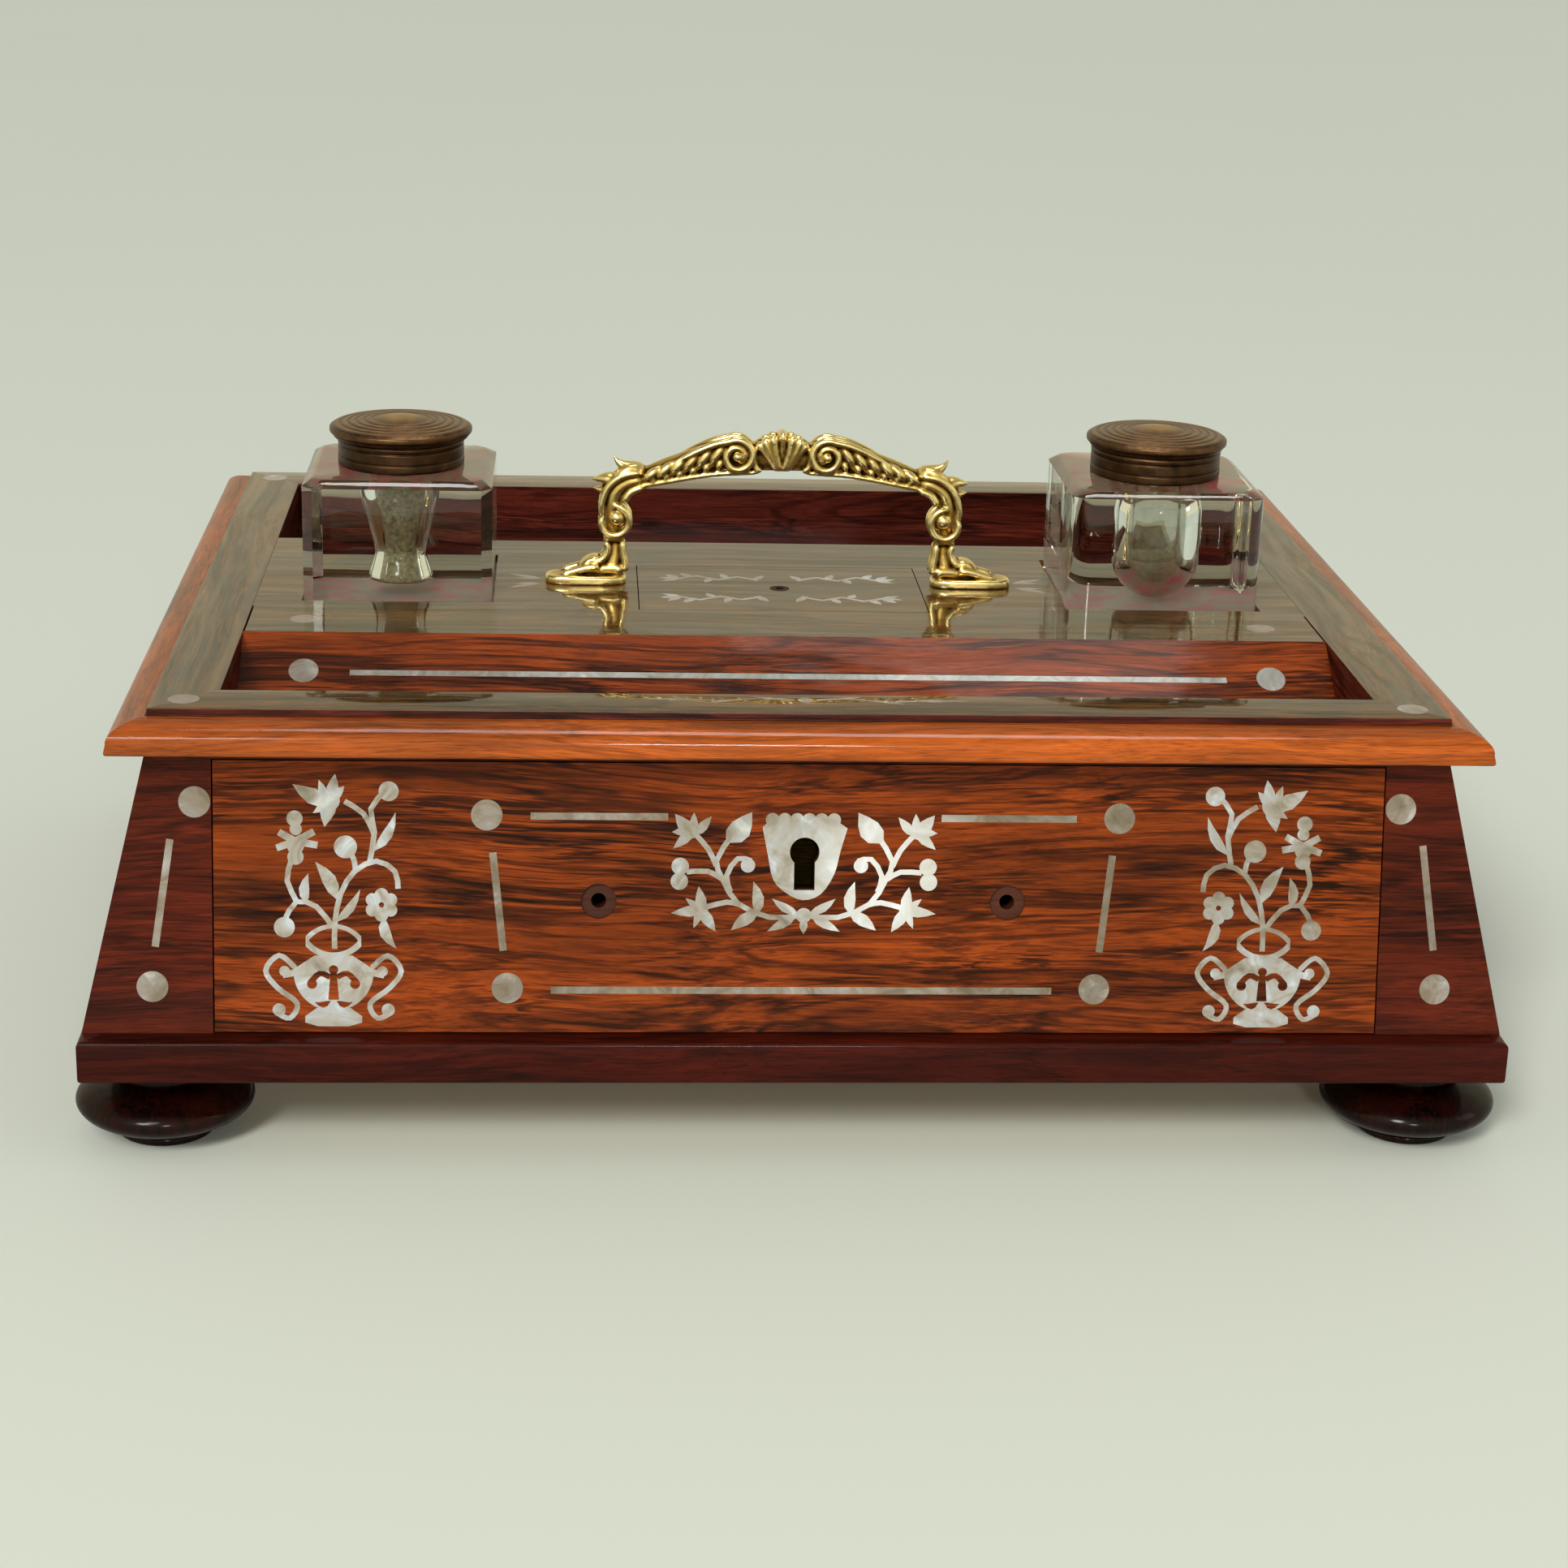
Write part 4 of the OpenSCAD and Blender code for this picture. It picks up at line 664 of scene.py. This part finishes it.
def handle_leg():
    """Foot, lower leg, C scroll with its ball, and the bent knee, left of the middle."""
    shin = [[-40.4, 31.7], [-44.8, 30.9], [-48.4, 28.4], [-49.9, 24.4], [-49.8, 19.6], [-49.2, 13.4]]
    ridge = [[-41.2, 34.0], [-47.0, 32.8], [-51.2, 29.4], [-53.0, 24.6], [-53.2, 19.6]]
    turn = np.radians(np.linspace(95, -215, 14))
    wide = np.linspace(5.0, 3.5, 14)
    scroll = np.stack([-49.5 + wide * np.cos(turn), 18.9 + wide * np.sin(turn)], axis=1)
    parts = [
        foot_plate(),
        ball(-48.6, 20.2, 2.5, y=-2.3),
        ball(-48.6, 20.2, 2.5, y=2.3),
        limb([[-58.6, 2.6], [-54, 4.0], [-49.6, 4.6], [-46.4, 4.2]], (2.0, 2.7), depth=1.6),
        limb([[-49.2, 14.6], [-48.9, 10.4], [-49.4, 6.8], [-50.4, 3.6]], (2.1, 3.3), depth=1.1),
        limb([[-52.6, 13.4], [-49.4, 13.7], [-46.2, 13.5]], (1.3, 1.3), depth=2.6),
        limb(shin, (2.9, 2.2), depth=1.35),
    ]
    for y in (-2.9, 2.9):
        parts += [
            limb(scroll, (1.25, 1.0), y=y),
            limb(ridge, (1.2, 0.9), y=y),
            limb([[-40.6, 29.7], [-44.6, 27.9], [-46.6, 24.9]], (1.0, 1.3), y=y),
            limb([[-51.8, 13], [-51.2, 10.2], [-52.8, 7.4], [-56.4, 5.8]], (1.0, 1.3), y=y * 0.8),
            limb([[-46.9, 13], [-46.6, 9.6], [-46.1, 6.6], [-46.0, 3.6]], (1.0, 1.4), y=y * 0.8),
            limb([[-53.6, 5.2], [-57.2, 4.8], [-61.6, 3.6], [-64.6, 2.8]], (1.3, 1.1), y=y * 1.05),
            limb([[-42.4, 36.2], [-46.6, 34.0], [-50.6, 31.6]], (1.1, 1.5), y=y * 0.8, leaf=0.8),
        ]
    return parts + [
        limb([[-53.6, 7.6], [-56.6, 6.9], [-58.6, 5.0], [-57.6, 3.4]], (1.3, 1.1), depth=2.8),
        limb([[-40.2, 33.6], [-44.6, 34.5], [-48.0, 36.2], [-50.2, 39.2]], (2.9, 1.5), depth=1.35, leaf=0.5),
        limb([[-47.6, 30.8], [-52.2, 31.4], [-56.6, 31.2]], (2.5, 1.7), depth=1.4, leaf=0.6),
        limb([[-48.6, 27.6], [-52.8, 28.0], [-56.2, 28.8]], (1.9, 1.3), depth=1.4, leaf=0.6),
    ]


def handle_arch():
    """Rising body with acanthus lobes laid over it, the volute at its end, half of the palmette."""
    body = [[-44.6, 31.4], [-39.6, 32.4], [-34, 34.4], [-27, 36.6], [-21, 38.2], [-14.6, 38.8]]
    hem = [[-44.0, 29.4], [-34, 31.3], [-26, 32.8], [-18, 33.9], [-6, 34.4]]
    rise = [[-33.0, 36.4], [-28.5, 38.8], [-24.2, 41.0], [-19.8, 42.8]]
    turn = np.radians(np.linspace(118, -440, 28))
    wind = np.linspace(5.2, 1.6, 28)
    volute = np.stack([-13.3 + wind * np.cos(turn), 39.1 + wind * np.sin(turn)], axis=1)
    parts = [
        limb(body, (2.6, 4.7), depth=0.72),
        limb([[-18, 38.6], [-10, 38.8], [0, 38.9], [2, 38.9]], (4.4, 4.5), depth=0.68),
    ]
    for y in (-2.9, 2.9):
        parts += [
            limb(np.vstack([rise, volute]), (1.2, 1.0), y=y, depth=1.25),
            ball(-13.3, 39.1, 1.5, y=y * 1.12),
            limb(hem, (1.0, 0.85), y=y * 0.9),
        ]
        # acanthus: long lobes from the lower edge back up to the top, each with a short one beside its tip
        for k in range(6):
            x = -41.4 + 3.9 * k
            low, high = 30.4 + 0.184 * (x + 41), 34.8 + 0.42 * (x + 40.6)
            waist = (low + high) / 2
            lobe = [[x, low], [x + 1.7, waist], [x + 5.8, high + 1.7]]
            parts.append(limb(lobe, (0.95, 1.75), y=y * 0.86, depth=1.1, leaf=1.3))
            parts.append(limb([[x + 2.6, low + 0.6], [x + 4.0, waist + 0.3]], (0.8, 0.95), y=y, leaf=0.9))
        for k, (top, end, fat) in enumerate(((3.1, 45.9, 1.6), (5.6, 44.8, 1.5), (7.5, 43.4, 1.2))):
            petal = [[-0.8 * k, 34.6], [-top * 0.62, 39.4], [-top, end]]
            parts.append(limb(petal, (0.7, fat), y=y * 0.86, depth=1.2))
        parts.append(limb([[-7.7, 42.0], [-8.3, 39.6], [-7.9, 36.2], [-6.0, 34.6]], (0.75, 0.85), y=y))
    parts.append(limb([[0, 34.4], [0, 40.4], [0, 47.0]], (0.9, 1.8), depth=2.5))
    return parts


def hollows(mesh, rounds):
    """Wear of each point: how far it stands in front of its neighbourhood, averaged over some rounds.

    It also smooths the mesh first, by three light rounds that take the steps out of the fused casting.
    """
    count = len(mesh.vertices)
    at = np.empty(count * 3)
    mesh.vertices.foreach_get("co", at)
    ends = np.empty(len(mesh.edges) * 2, int)
    mesh.edges.foreach_get("vertices", ends)
    a, b = ends.reshape(-1, 2).T
    number = np.bincount(a, minlength=count) + np.bincount(b, minlength=count)

    def averaged(p):
        total = [np.bincount(a, p[b, k], count) + np.bincount(b, p[a, k], count) for k in range(3)]
        return np.stack(total, axis=1) / number[:, None]

    clean = at.reshape(-1, 3)
    for _ in range(3):
        clean = 0.35 * clean + 0.65 * averaged(clean)
    mesh.vertices.foreach_set("co", clean.ravel())
    mesh.update()
    out = np.empty(count * 3)
    mesh.vertices.foreach_get("normal", out)
    blurred = clean
    for _ in range(rounds):
        blurred = averaged(blurred)
    depth = ((blurred - clean) * out.reshape(-1, 3)).sum(axis=1) / MM
    return np.clip(0.56 - depth * 2.1, 0, 1)


def fused(name, grids, cell):
    """Fuses overlapping closed skins into one casting with cubic cells, and stores its wear."""
    rough = joined(name, [sheet(g, close_v=True) for g in grids])
    remesh = rough.modifiers.new("Fuse", "REMESH")
    remesh.mode, remesh.voxel_size, remesh.use_smooth_shade = "VOXEL", cell, True
    solid = bpy.data.meshes.new_from_object(rough.evaluated_get(bpy.context.evaluated_depsgraph_get()))
    solid.name = name
    bpy.data.objects.remove(rough)
    wear = hollows(solid, rounds=14)
    layer = solid.attributes.get("wear") or solid.attributes.new("wear", "FLOAT", "POINT")
    layer.data.foreach_set("value", wear.astype(np.float32))
    solid.materials.clear()
    smooth(solid, 180)
    return put(name, solid)


class DESKSTAND_OT_carcase(bpy.types.Operator):
    """Give every solid of case, drawer, tray and inlay its finish"""

    bl_idname = "desk_stand.carcase"
    bl_label = "Finish the carcase"

    def execute(self, context):
        c = context.scene.desk_stand_colours
        drawer = french_polished_rosewood("Rosewood veneer, French polished", c.drawer, 0, 3.1)
        stile = french_polished_rosewood("Rosewood posts, French polished", c.stile, 0, 7.7, streaks=0.7)
        lengthwise = french_polished_rosewood("Rosewood sides, French polished", c.stile, 1, 1.9)
        deck = french_polished_rosewood("Rosewood deck, French polished", c.deck, 0, 5.3, **TOP_POLISH)
        # painted shade: a darker copy of the rosewood on the top rail under the moulding and on the floor and
        # lining of the well; the tray's base board shares it
        shaded = french_polished_rosewood("Rosewood rail in shadow", c.well, 0, 1.3)
        trough = french_polished_rosewood("Rosewood trough, French polished", c.drawer, 0, 9.4)
        mahogany = planed_timber("Mahogany, planed", tint("#6f3c22"), 1, 2.2)
        cross = planed_timber("Mahogany, planed across", tint("#4a2515"), 0, 4.1)
        pine = planed_timber("Pine, planed", tint("#b98c56"), 0, 6.5)
        pearl = polished_mother_of_pearl("Mother of pearl, polished", c.pearl, tint("#fffdf8"))
        dull = polished_mother_of_pearl("Mother of pearl, dull", c.pearl, tint("#d9c9bd"))
        lock = filed_brass("Lock brass, filed")
        # painted shade: lock case and bolt made near black, so that the keyhole looks dark inside
        painted_shade_brass = filed_brass("Lock brass, darkened as painted shade", 0.02)
        felt = wool_felt("Wool felt, pressed", c.felt)
        finishes = {
            drawer: ["drawer_veneer"],
            stile: ["stile_left", "stile_right", "case_back"],
            shaded: ["top_rail", "well_floor", "tray_lining", "tray_base"],
            lengthwise: ["case_side_left", "case_side_right"],
            deck: ["deck", "deck_strip", "compartment_lid", "deck_bearer"],
            trough: ["trough_board"],
            mahogany: ["drawer_side_left", "drawer_side_right"],
            cross: ["drawer_front", "drawer_back", "compartment_box"],
            pine: [
                "bottom_board", "rail_blocks", "drawer_guide_left", "drawer_guide_right", "drawer_stops",
                "drawer_bottom",
            ],
            pearl: ["escutcheon", "urn_spray_left", "urn_spray_right", "centre_spray", "lid_scrollwork"],
            dull: ["drawer_stringing", "stile_inlay", "top_inlay"],
            painted_shade_brass: ["lock_case", "lock_bolt"],
            lock: ["lock_screws", "handle_screws", "lid_pin_left", "lid_pin_right"],
            felt: ["recess_felts"],
        }
        for material, names in finishes.items():
            for name in names:
                solid = NODES[name].data
                solid.materials.clear()
                solid.materials.append(material)
        return {"FINISHED"}


class DESKSTAND_OT_base(bpy.types.Operator):
    """Build the four bun feet and the moulded plinth"""

    bl_idname = "desk_stand.base"
    bl_label = "Build feet and plinth"

    def execute(self, context):
        sizes, c = context.scene.desk_stand_sizes, context.scene.desk_stand_colours
        profile = bun_profile(sizes.bun_radius / MM, sizes.neck_radius / MM)
        black = times(c.plinth, 0.25)
        ebonised = french_polished_rosewood(
            "Ebonised wood, turned and polished", black, 2, 4.4, gloss=0.12, coat=0.3
        )
        for name in ("foot_front_left", "foot_front_right", "foot_back_left", "foot_back_right"):
            foot = joined("bun_" + name, [turned(profile, middle_of(name))])
            dress(foot, ebonised, "stand", "ebonised_wood", name)
        moulded = both_ways("Plinth rosewood", c.plinth, 8.8, gloss=0.1, streaks=0.5)
        section = rounded([[0, 0], [9, 0], [9, -11.5], [0, -11.5]], 1.3)
        for side, name in enumerate(SIDES):
            rail = joined("moulded_plinth_" + name, [mitred_rail(side, section, PLINTH_HOLE, Z_CASE)])
            dress(rail, moulded[side % 2], "stand", "ebonised_wood", "plinth_" + name)
        return {"FINISHED"}


class DESKSTAND_OT_top_frame(bpy.types.Operator):
    """Build the four mitred rails with their thumb moulding"""

    bl_idname = "desk_stand.top_frame"
    bl_label = "Build the top frame"

    def execute(self, context):
        sizes, c = context.scene.desk_stand_sizes, context.scene.desk_stand_colours
        section = rail_profile(sizes.moulding / MM)
        # painted light: the moulded faces take the rosewood painted brighter and more orange, as lit from the
        # front
        moulded = both_ways("Moulding rosewood", c.moulding, 2.6, gloss=0.08, coat=0.55, streaks=0.35)
        flat = both_ways("Rail rosewood", c.deck, 6.1, **TOP_POLISH)
        # painted shade: the same rosewood darker, for the rail faces in shade
        dark = both_ways("Well rosewood", c.well, 3.9, gloss=0.12, streaks=0.7)
        for side, name in enumerate(SIDES):
            way = side % 2
            rail = joined("moulded_rail_" + name, [mitred_rail(side, section, OPENING, Z_DECK)], sharp=50)
            dress(rail, moulded[way], "stand", "rosewood", "frame_" + name)
            rail.data.materials.append(flat[way])
            rail.data.materials.append(dark[way])
            middles = np.empty(len(rail.data.polygons) * 3)
            rail.data.polygons.foreach_get("center", middles)
            middles = middles.reshape(-1, 3) / MM
            out = np.abs(middles[:, 1 - way]) - OPENING[1 - way] / 2
            level = middles[:, 2] > Z_DECK - 0.12
            # painted shade: faces that look into the tray, and the fillet step under the flat, get the dark
            # rosewood
            quirk = (out < 0.2) | (~level & (np.abs(out - RAIL_WIDTH + sizes.moulding / MM) < 0.5))
            rail.data.polygons.foreach_set("material_index", np.where(quirk, 2, level))
        return {"FINISHED"}


class DESKSTAND_OT_inkwells(bpy.types.Operator):
    """Build both glass inkwells with their collars and hinged lids"""

    bl_idname = "desk_stand.inkwells"
    bl_label = "Build the inkwells"

    def execute(self, context):
        sizes, c = context.scene.desk_stand_sizes, context.scene.desk_stand_colours
        glass = cut_lead_glass("Lead glass, cut and polished")
        bronze = aged_spun_brass("Spun brass, aged", c.bronze)
        z = NECK_TOP
        waist = [
            [11.5, z - 0.3], [11.5, z - 12], [9.4, z - 21], [7.5, z - 29], [9.3, z - 36.2], [8.6, z - 38.1],
            [4, z - 38.4], [0.05, z - 38.4],
        ]
        throat = [[11.5, z - 0.3], [11.5, z - 9], [12.4, z - 11], [13.0, z - 14]]
        a = np.radians(np.linspace(0, -89.8, 24))
        bowl = np.stack([13.2 * np.cos(a), z - 27.6 + 13.2 * np.sin(a)], axis=1)
        waisted, round_bowl = flowing(waist, 6), np.vstack([throat, bowl])
        kinds = {
            "left": (-1, sizes.left_glass, 3.0, "cut", (3.2, 1.9), waisted, 18.4, 0.35),
            "right": (1, sizes.right_glass, 6.0, "round", (2.6, 1.6), round_bowl, 19.2, 0.82),
        }
        rings, wear = lid_profile(sizes.lid_radius / MM, sizes.lid_rings)
        for name, (side, width, corner, style, bevel, cavity, collar, clear) in kinds.items():
            centre = (side * WELL_X, WELL_Y)
            block = glass_block(centre, width / MM, corner, style, bevel, [tuple(p) for p in cavity])
            body = name + "_inkwell"
            dress(joined("cut_glass_" + name, [block], sharp=22), glass, body, "glass", "inkwell_" + name)
            film = joined("ink_film_" + name, [turned(film_profile(cavity[1:]), centre)], sharp=60)
            dress(film, dried_ink("Dried ink, " + name, clear), body, "glass")
            ears = [barrel(centre, *HINGE, 2.0, x, x + 3.2, 3.4) for x in (-6.2, 3.0)]
            ring = joined("spun_collar_" + name, [turned(collar_profile(collar), centre, wear=0.24), *ears])
            dress(ring, bronze, body, "lid_bronze", "collar_" + name)
            tongue = barrel(centre, *HINGE, 2.0, -2.9, 2.9, 3.0)
            lid = joined("ringed_lid_" + name, [turned(rings, centre, 128, wear), tongue], sharp=60)
            dress(lid, bronze, name + "_lid", "lid_bronze", "inkwell_lid_" + name)
        return {"FINISHED"}


class DESKSTAND_OT_knob_mark(bpy.types.Operator):
    """Stain the ring that the lost knob left round the small lid's hole"""

    bl_idname = "desk_stand.knob_mark"
    bl_label = "Mark the lost knob"

    def execute(self, context):
        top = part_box("compartment_lid")[1].z / MM
        ring = [(1.2, -0.2), (1.2, 0.03), (1.6, 0.05), (2.9, 0.05), (3.1, -0.2), (1.2, -0.2)]
        mark = turned([(r, top + up) for r, up in ring], middle_of("compartment_lid"), 48)
        stain = planed_timber("Rosewood, bare and stained", tint("#2a140c"), 0, 7.4)
        dress(joined("knob_mark", [mark]), stain, "small_lid", "rosewood")
        return {"FINISHED"}


class DESKSTAND_OT_handle(bpy.types.Operator):
    """Build the cast handle: scrolled legs, acanthus arch, volutes and palmette"""

    bl_idname = "desk_stand.handle"
    bl_label = "Build the handle"

    def execute(self, context):
        half = handle_leg() + handle_arch()
        grids = half + [g * (-1, 1, 1) for g in half]
        placed = [g + (0, HANDLE_Y, Z_DECK) for g in grids]
        cast = fused("cast_handle", placed, context.scene.desk_stand_sizes.cast_detail)
        brass = chased_brass("Brass, cast and chased", context.scene.desk_stand_colours.brass)
        dress(cast, brass, "stand", "handle_brass", "handle")
        return {"FINISHED"}


class DESKSTAND_OT_stage(bpy.types.Operator):
    """Set up the pale floor, the soft lamps and the camera"""

    bl_idname = "desk_stand.stage"
    bl_label = "Set the stage"

    def execute(self, context):
        scene = context.scene
        shade = tuple(scene.desk_stand_colours.floor)

        def plain(tree, at):
            soft = add(tree, "TexNoise", {"Vector": at, "Scale": 1.2, "Detail": 1.0})
            body = add(tree, "ValToRGB", {"Fac": soft}, stops=[(0.3, times(shade, 0.985)), (0.7, shade)])
            return {"Base Color": body, "Roughness": 0.9, "Specular IOR Level": 0.2}

        # 9 m each way, and a little below the feet
        reach, level = 9000.0, -0.2
        corners = np.array([[[x, y, level] for x in (-reach, reach)] for y in (-reach, reach)])
        floor = joined("floor", [sheet(corners)])
        floor.data.materials.append(finish_material("Seamless paper, pale", plain))

        # a dim room for what the part scatters, a paler dome behind it and a warm one in its reflections
        world = bpy.data.worlds.new("Studio")
        world.use_nodes = True
        tree = world.node_tree
        tree.nodes.clear()
        rays = add(tree, "LightPath", out=None).outputs
        seen = {0: rays["Is Camera Ray"], 1: rays["Is Glossy Ray"]}
        seen = {0: add(tree, "Math", seen, operation="MAXIMUM"), 1: rays["Is Transmission Ray"]}
        seen = add(tree, "Math", seen, operation="MAXIMUM")
        lit = add(tree, "Background", {"Color": tint("#f4f5f2"), "Strength": 0.55})
        aim = add(tree, "SeparateXYZ", {0: add(tree, "TexCoord", out="Generated")}, out=2)
        dome, room = [
            add(tree, "ValToRGB", {"Fac": aim}, stops=[(0.45, times(tone, low)), (0.9, times(tone, 0.3))])
            for tone, low in ((shade, 0.86), (tint("#dfd9ba"), 1.0))
        ]
        dome = add(tree, "Mix", {0: rays["Is Glossy Ray"], 6: dome, 7: room}, out=2, data_type="RGBA")
        shown = add(tree, "Background", {"Color": dome, "Strength": 1.0})
        mixed = add(tree, "MixShader", {0: seen, 1: lit, 2: shown})
        add(tree, "OutputWorld", {"Surface": mixed}, out=None)
        scene.world = world

        daylight = (1.0, 0.985, 0.96)
        for name, place, width, height, power in (
            ("Key softbox", (-0.6, -1.9, 1.7), 0.5, 0.5, 12.0),
            ("Front softbox", (0.1, -2.2, 0.75), 0.25, 0.25, 8.0),
            ("Side softbox", (1.9, -0.5, 0.9), 0.8, 0.8, 2.0),
            ("Sheen panel", (0.1, 0.25, 1.9), 0.9, 0.45, 12.0),
        ):
            lamp = bpy.data.lights.new(name, "AREA")
            lamp.shape, lamp.size, lamp.size_y = "RECTANGLE", width, height
            lamp.energy, lamp.color = power, daylight
            made = put(name, lamp)
            made.location = place
            made.visible_diffuse = name != "Sheen panel"
            made.rotation_euler = (-made.location).to_track_quat("-Z", "Y").to_euler()

        sun = bpy.data.lights.new("Even light", "SUN")
        sun.energy, sun.angle, sun.color = 1.7, math.radians(14), daylight
        put("Even light", sun).rotation_euler = (math.radians(56), 0, math.radians(-24))

        # The place, turn and lens that were fitted to the photograph's edges, the lens in its pixels
        place = (-0.060428, -0.899781, 0.359535)
        yaw, pitch, roll = 0.07124713, -0.32443273, 0.02935253
        focal, photo_width, sensor = 3810.697, 1932, 36
        ahead = np.array([math.sin(yaw) * math.cos(pitch), math.cos(yaw) * math.cos(pitch), math.sin(pitch)])
        right = np.array([math.cos(yaw), -math.sin(yaw), 0.0])
        up = np.cross(right, ahead)
        across = math.cos(roll) * right + math.sin(roll) * up
        above = -math.sin(roll) * right + math.cos(roll) * up
        camera = put("Camera", bpy.data.cameras.new("Camera"))
        camera.data.lens, camera.data.sensor_width = sensor * focal / photo_width, sensor
        turn = Matrix(np.column_stack([across, above, -ahead]).tolist()).to_4x4()
        camera.matrix_world = Matrix.Translation(place) @ turn
        scene.camera = camera
        scene.view_settings.view_transform = "Standard"
        return {"FINISHED"}


class DESKSTAND_PT_panel(bpy.types.Panel):
    """Lists the steps in the order in which they run"""

    bl_label = "Desk stand"
    bl_idname = "DESKSTAND_PT_panel"
    bl_space_type = "VIEW_3D"
    bl_region_type = "UI"
    bl_category = "Desk stand"

    def draw(self, context):
        for step in STEPS:
            self.layout.operator(step.bl_idname)
        for group in (context.scene.desk_stand_sizes, context.scene.desk_stand_colours):
            for name in group.__annotations__:
                self.layout.prop(group, name)


STEPS = (
    DESKSTAND_OT_carcase,
    DESKSTAND_OT_base,
    DESKSTAND_OT_top_frame,
    DESKSTAND_OT_inkwells,
    DESKSTAND_OT_knob_mark,
    DESKSTAND_OT_handle,
    DESKSTAND_OT_stage,
)
CLASSES = (DeskStandSizes, DeskStandColours, *STEPS, DESKSTAND_PT_panel)


def register():
    for cls in CLASSES:
        bpy.utils.register_class(cls)
    bpy.types.Scene.desk_stand_sizes = bpy.props.PointerProperty(type=DeskStandSizes)
    bpy.types.Scene.desk_stand_colours = bpy.props.PointerProperty(type=DeskStandColours)


def unregister():
    del bpy.types.Scene.desk_stand_colours
    del bpy.types.Scene.desk_stand_sizes
    for cls in reversed(CLASSES):
        bpy.utils.unregister_class(cls)


def main():
    register()
    bpy.ops.desk_stand.carcase()
    bpy.ops.desk_stand.base()
    bpy.ops.desk_stand.top_frame()
    bpy.ops.desk_stand.inkwells()
    bpy.ops.desk_stand.knob_mark()
    bpy.ops.desk_stand.handle()
    bpy.ops.desk_stand.stage()


if __name__ == "__main__":
    main()
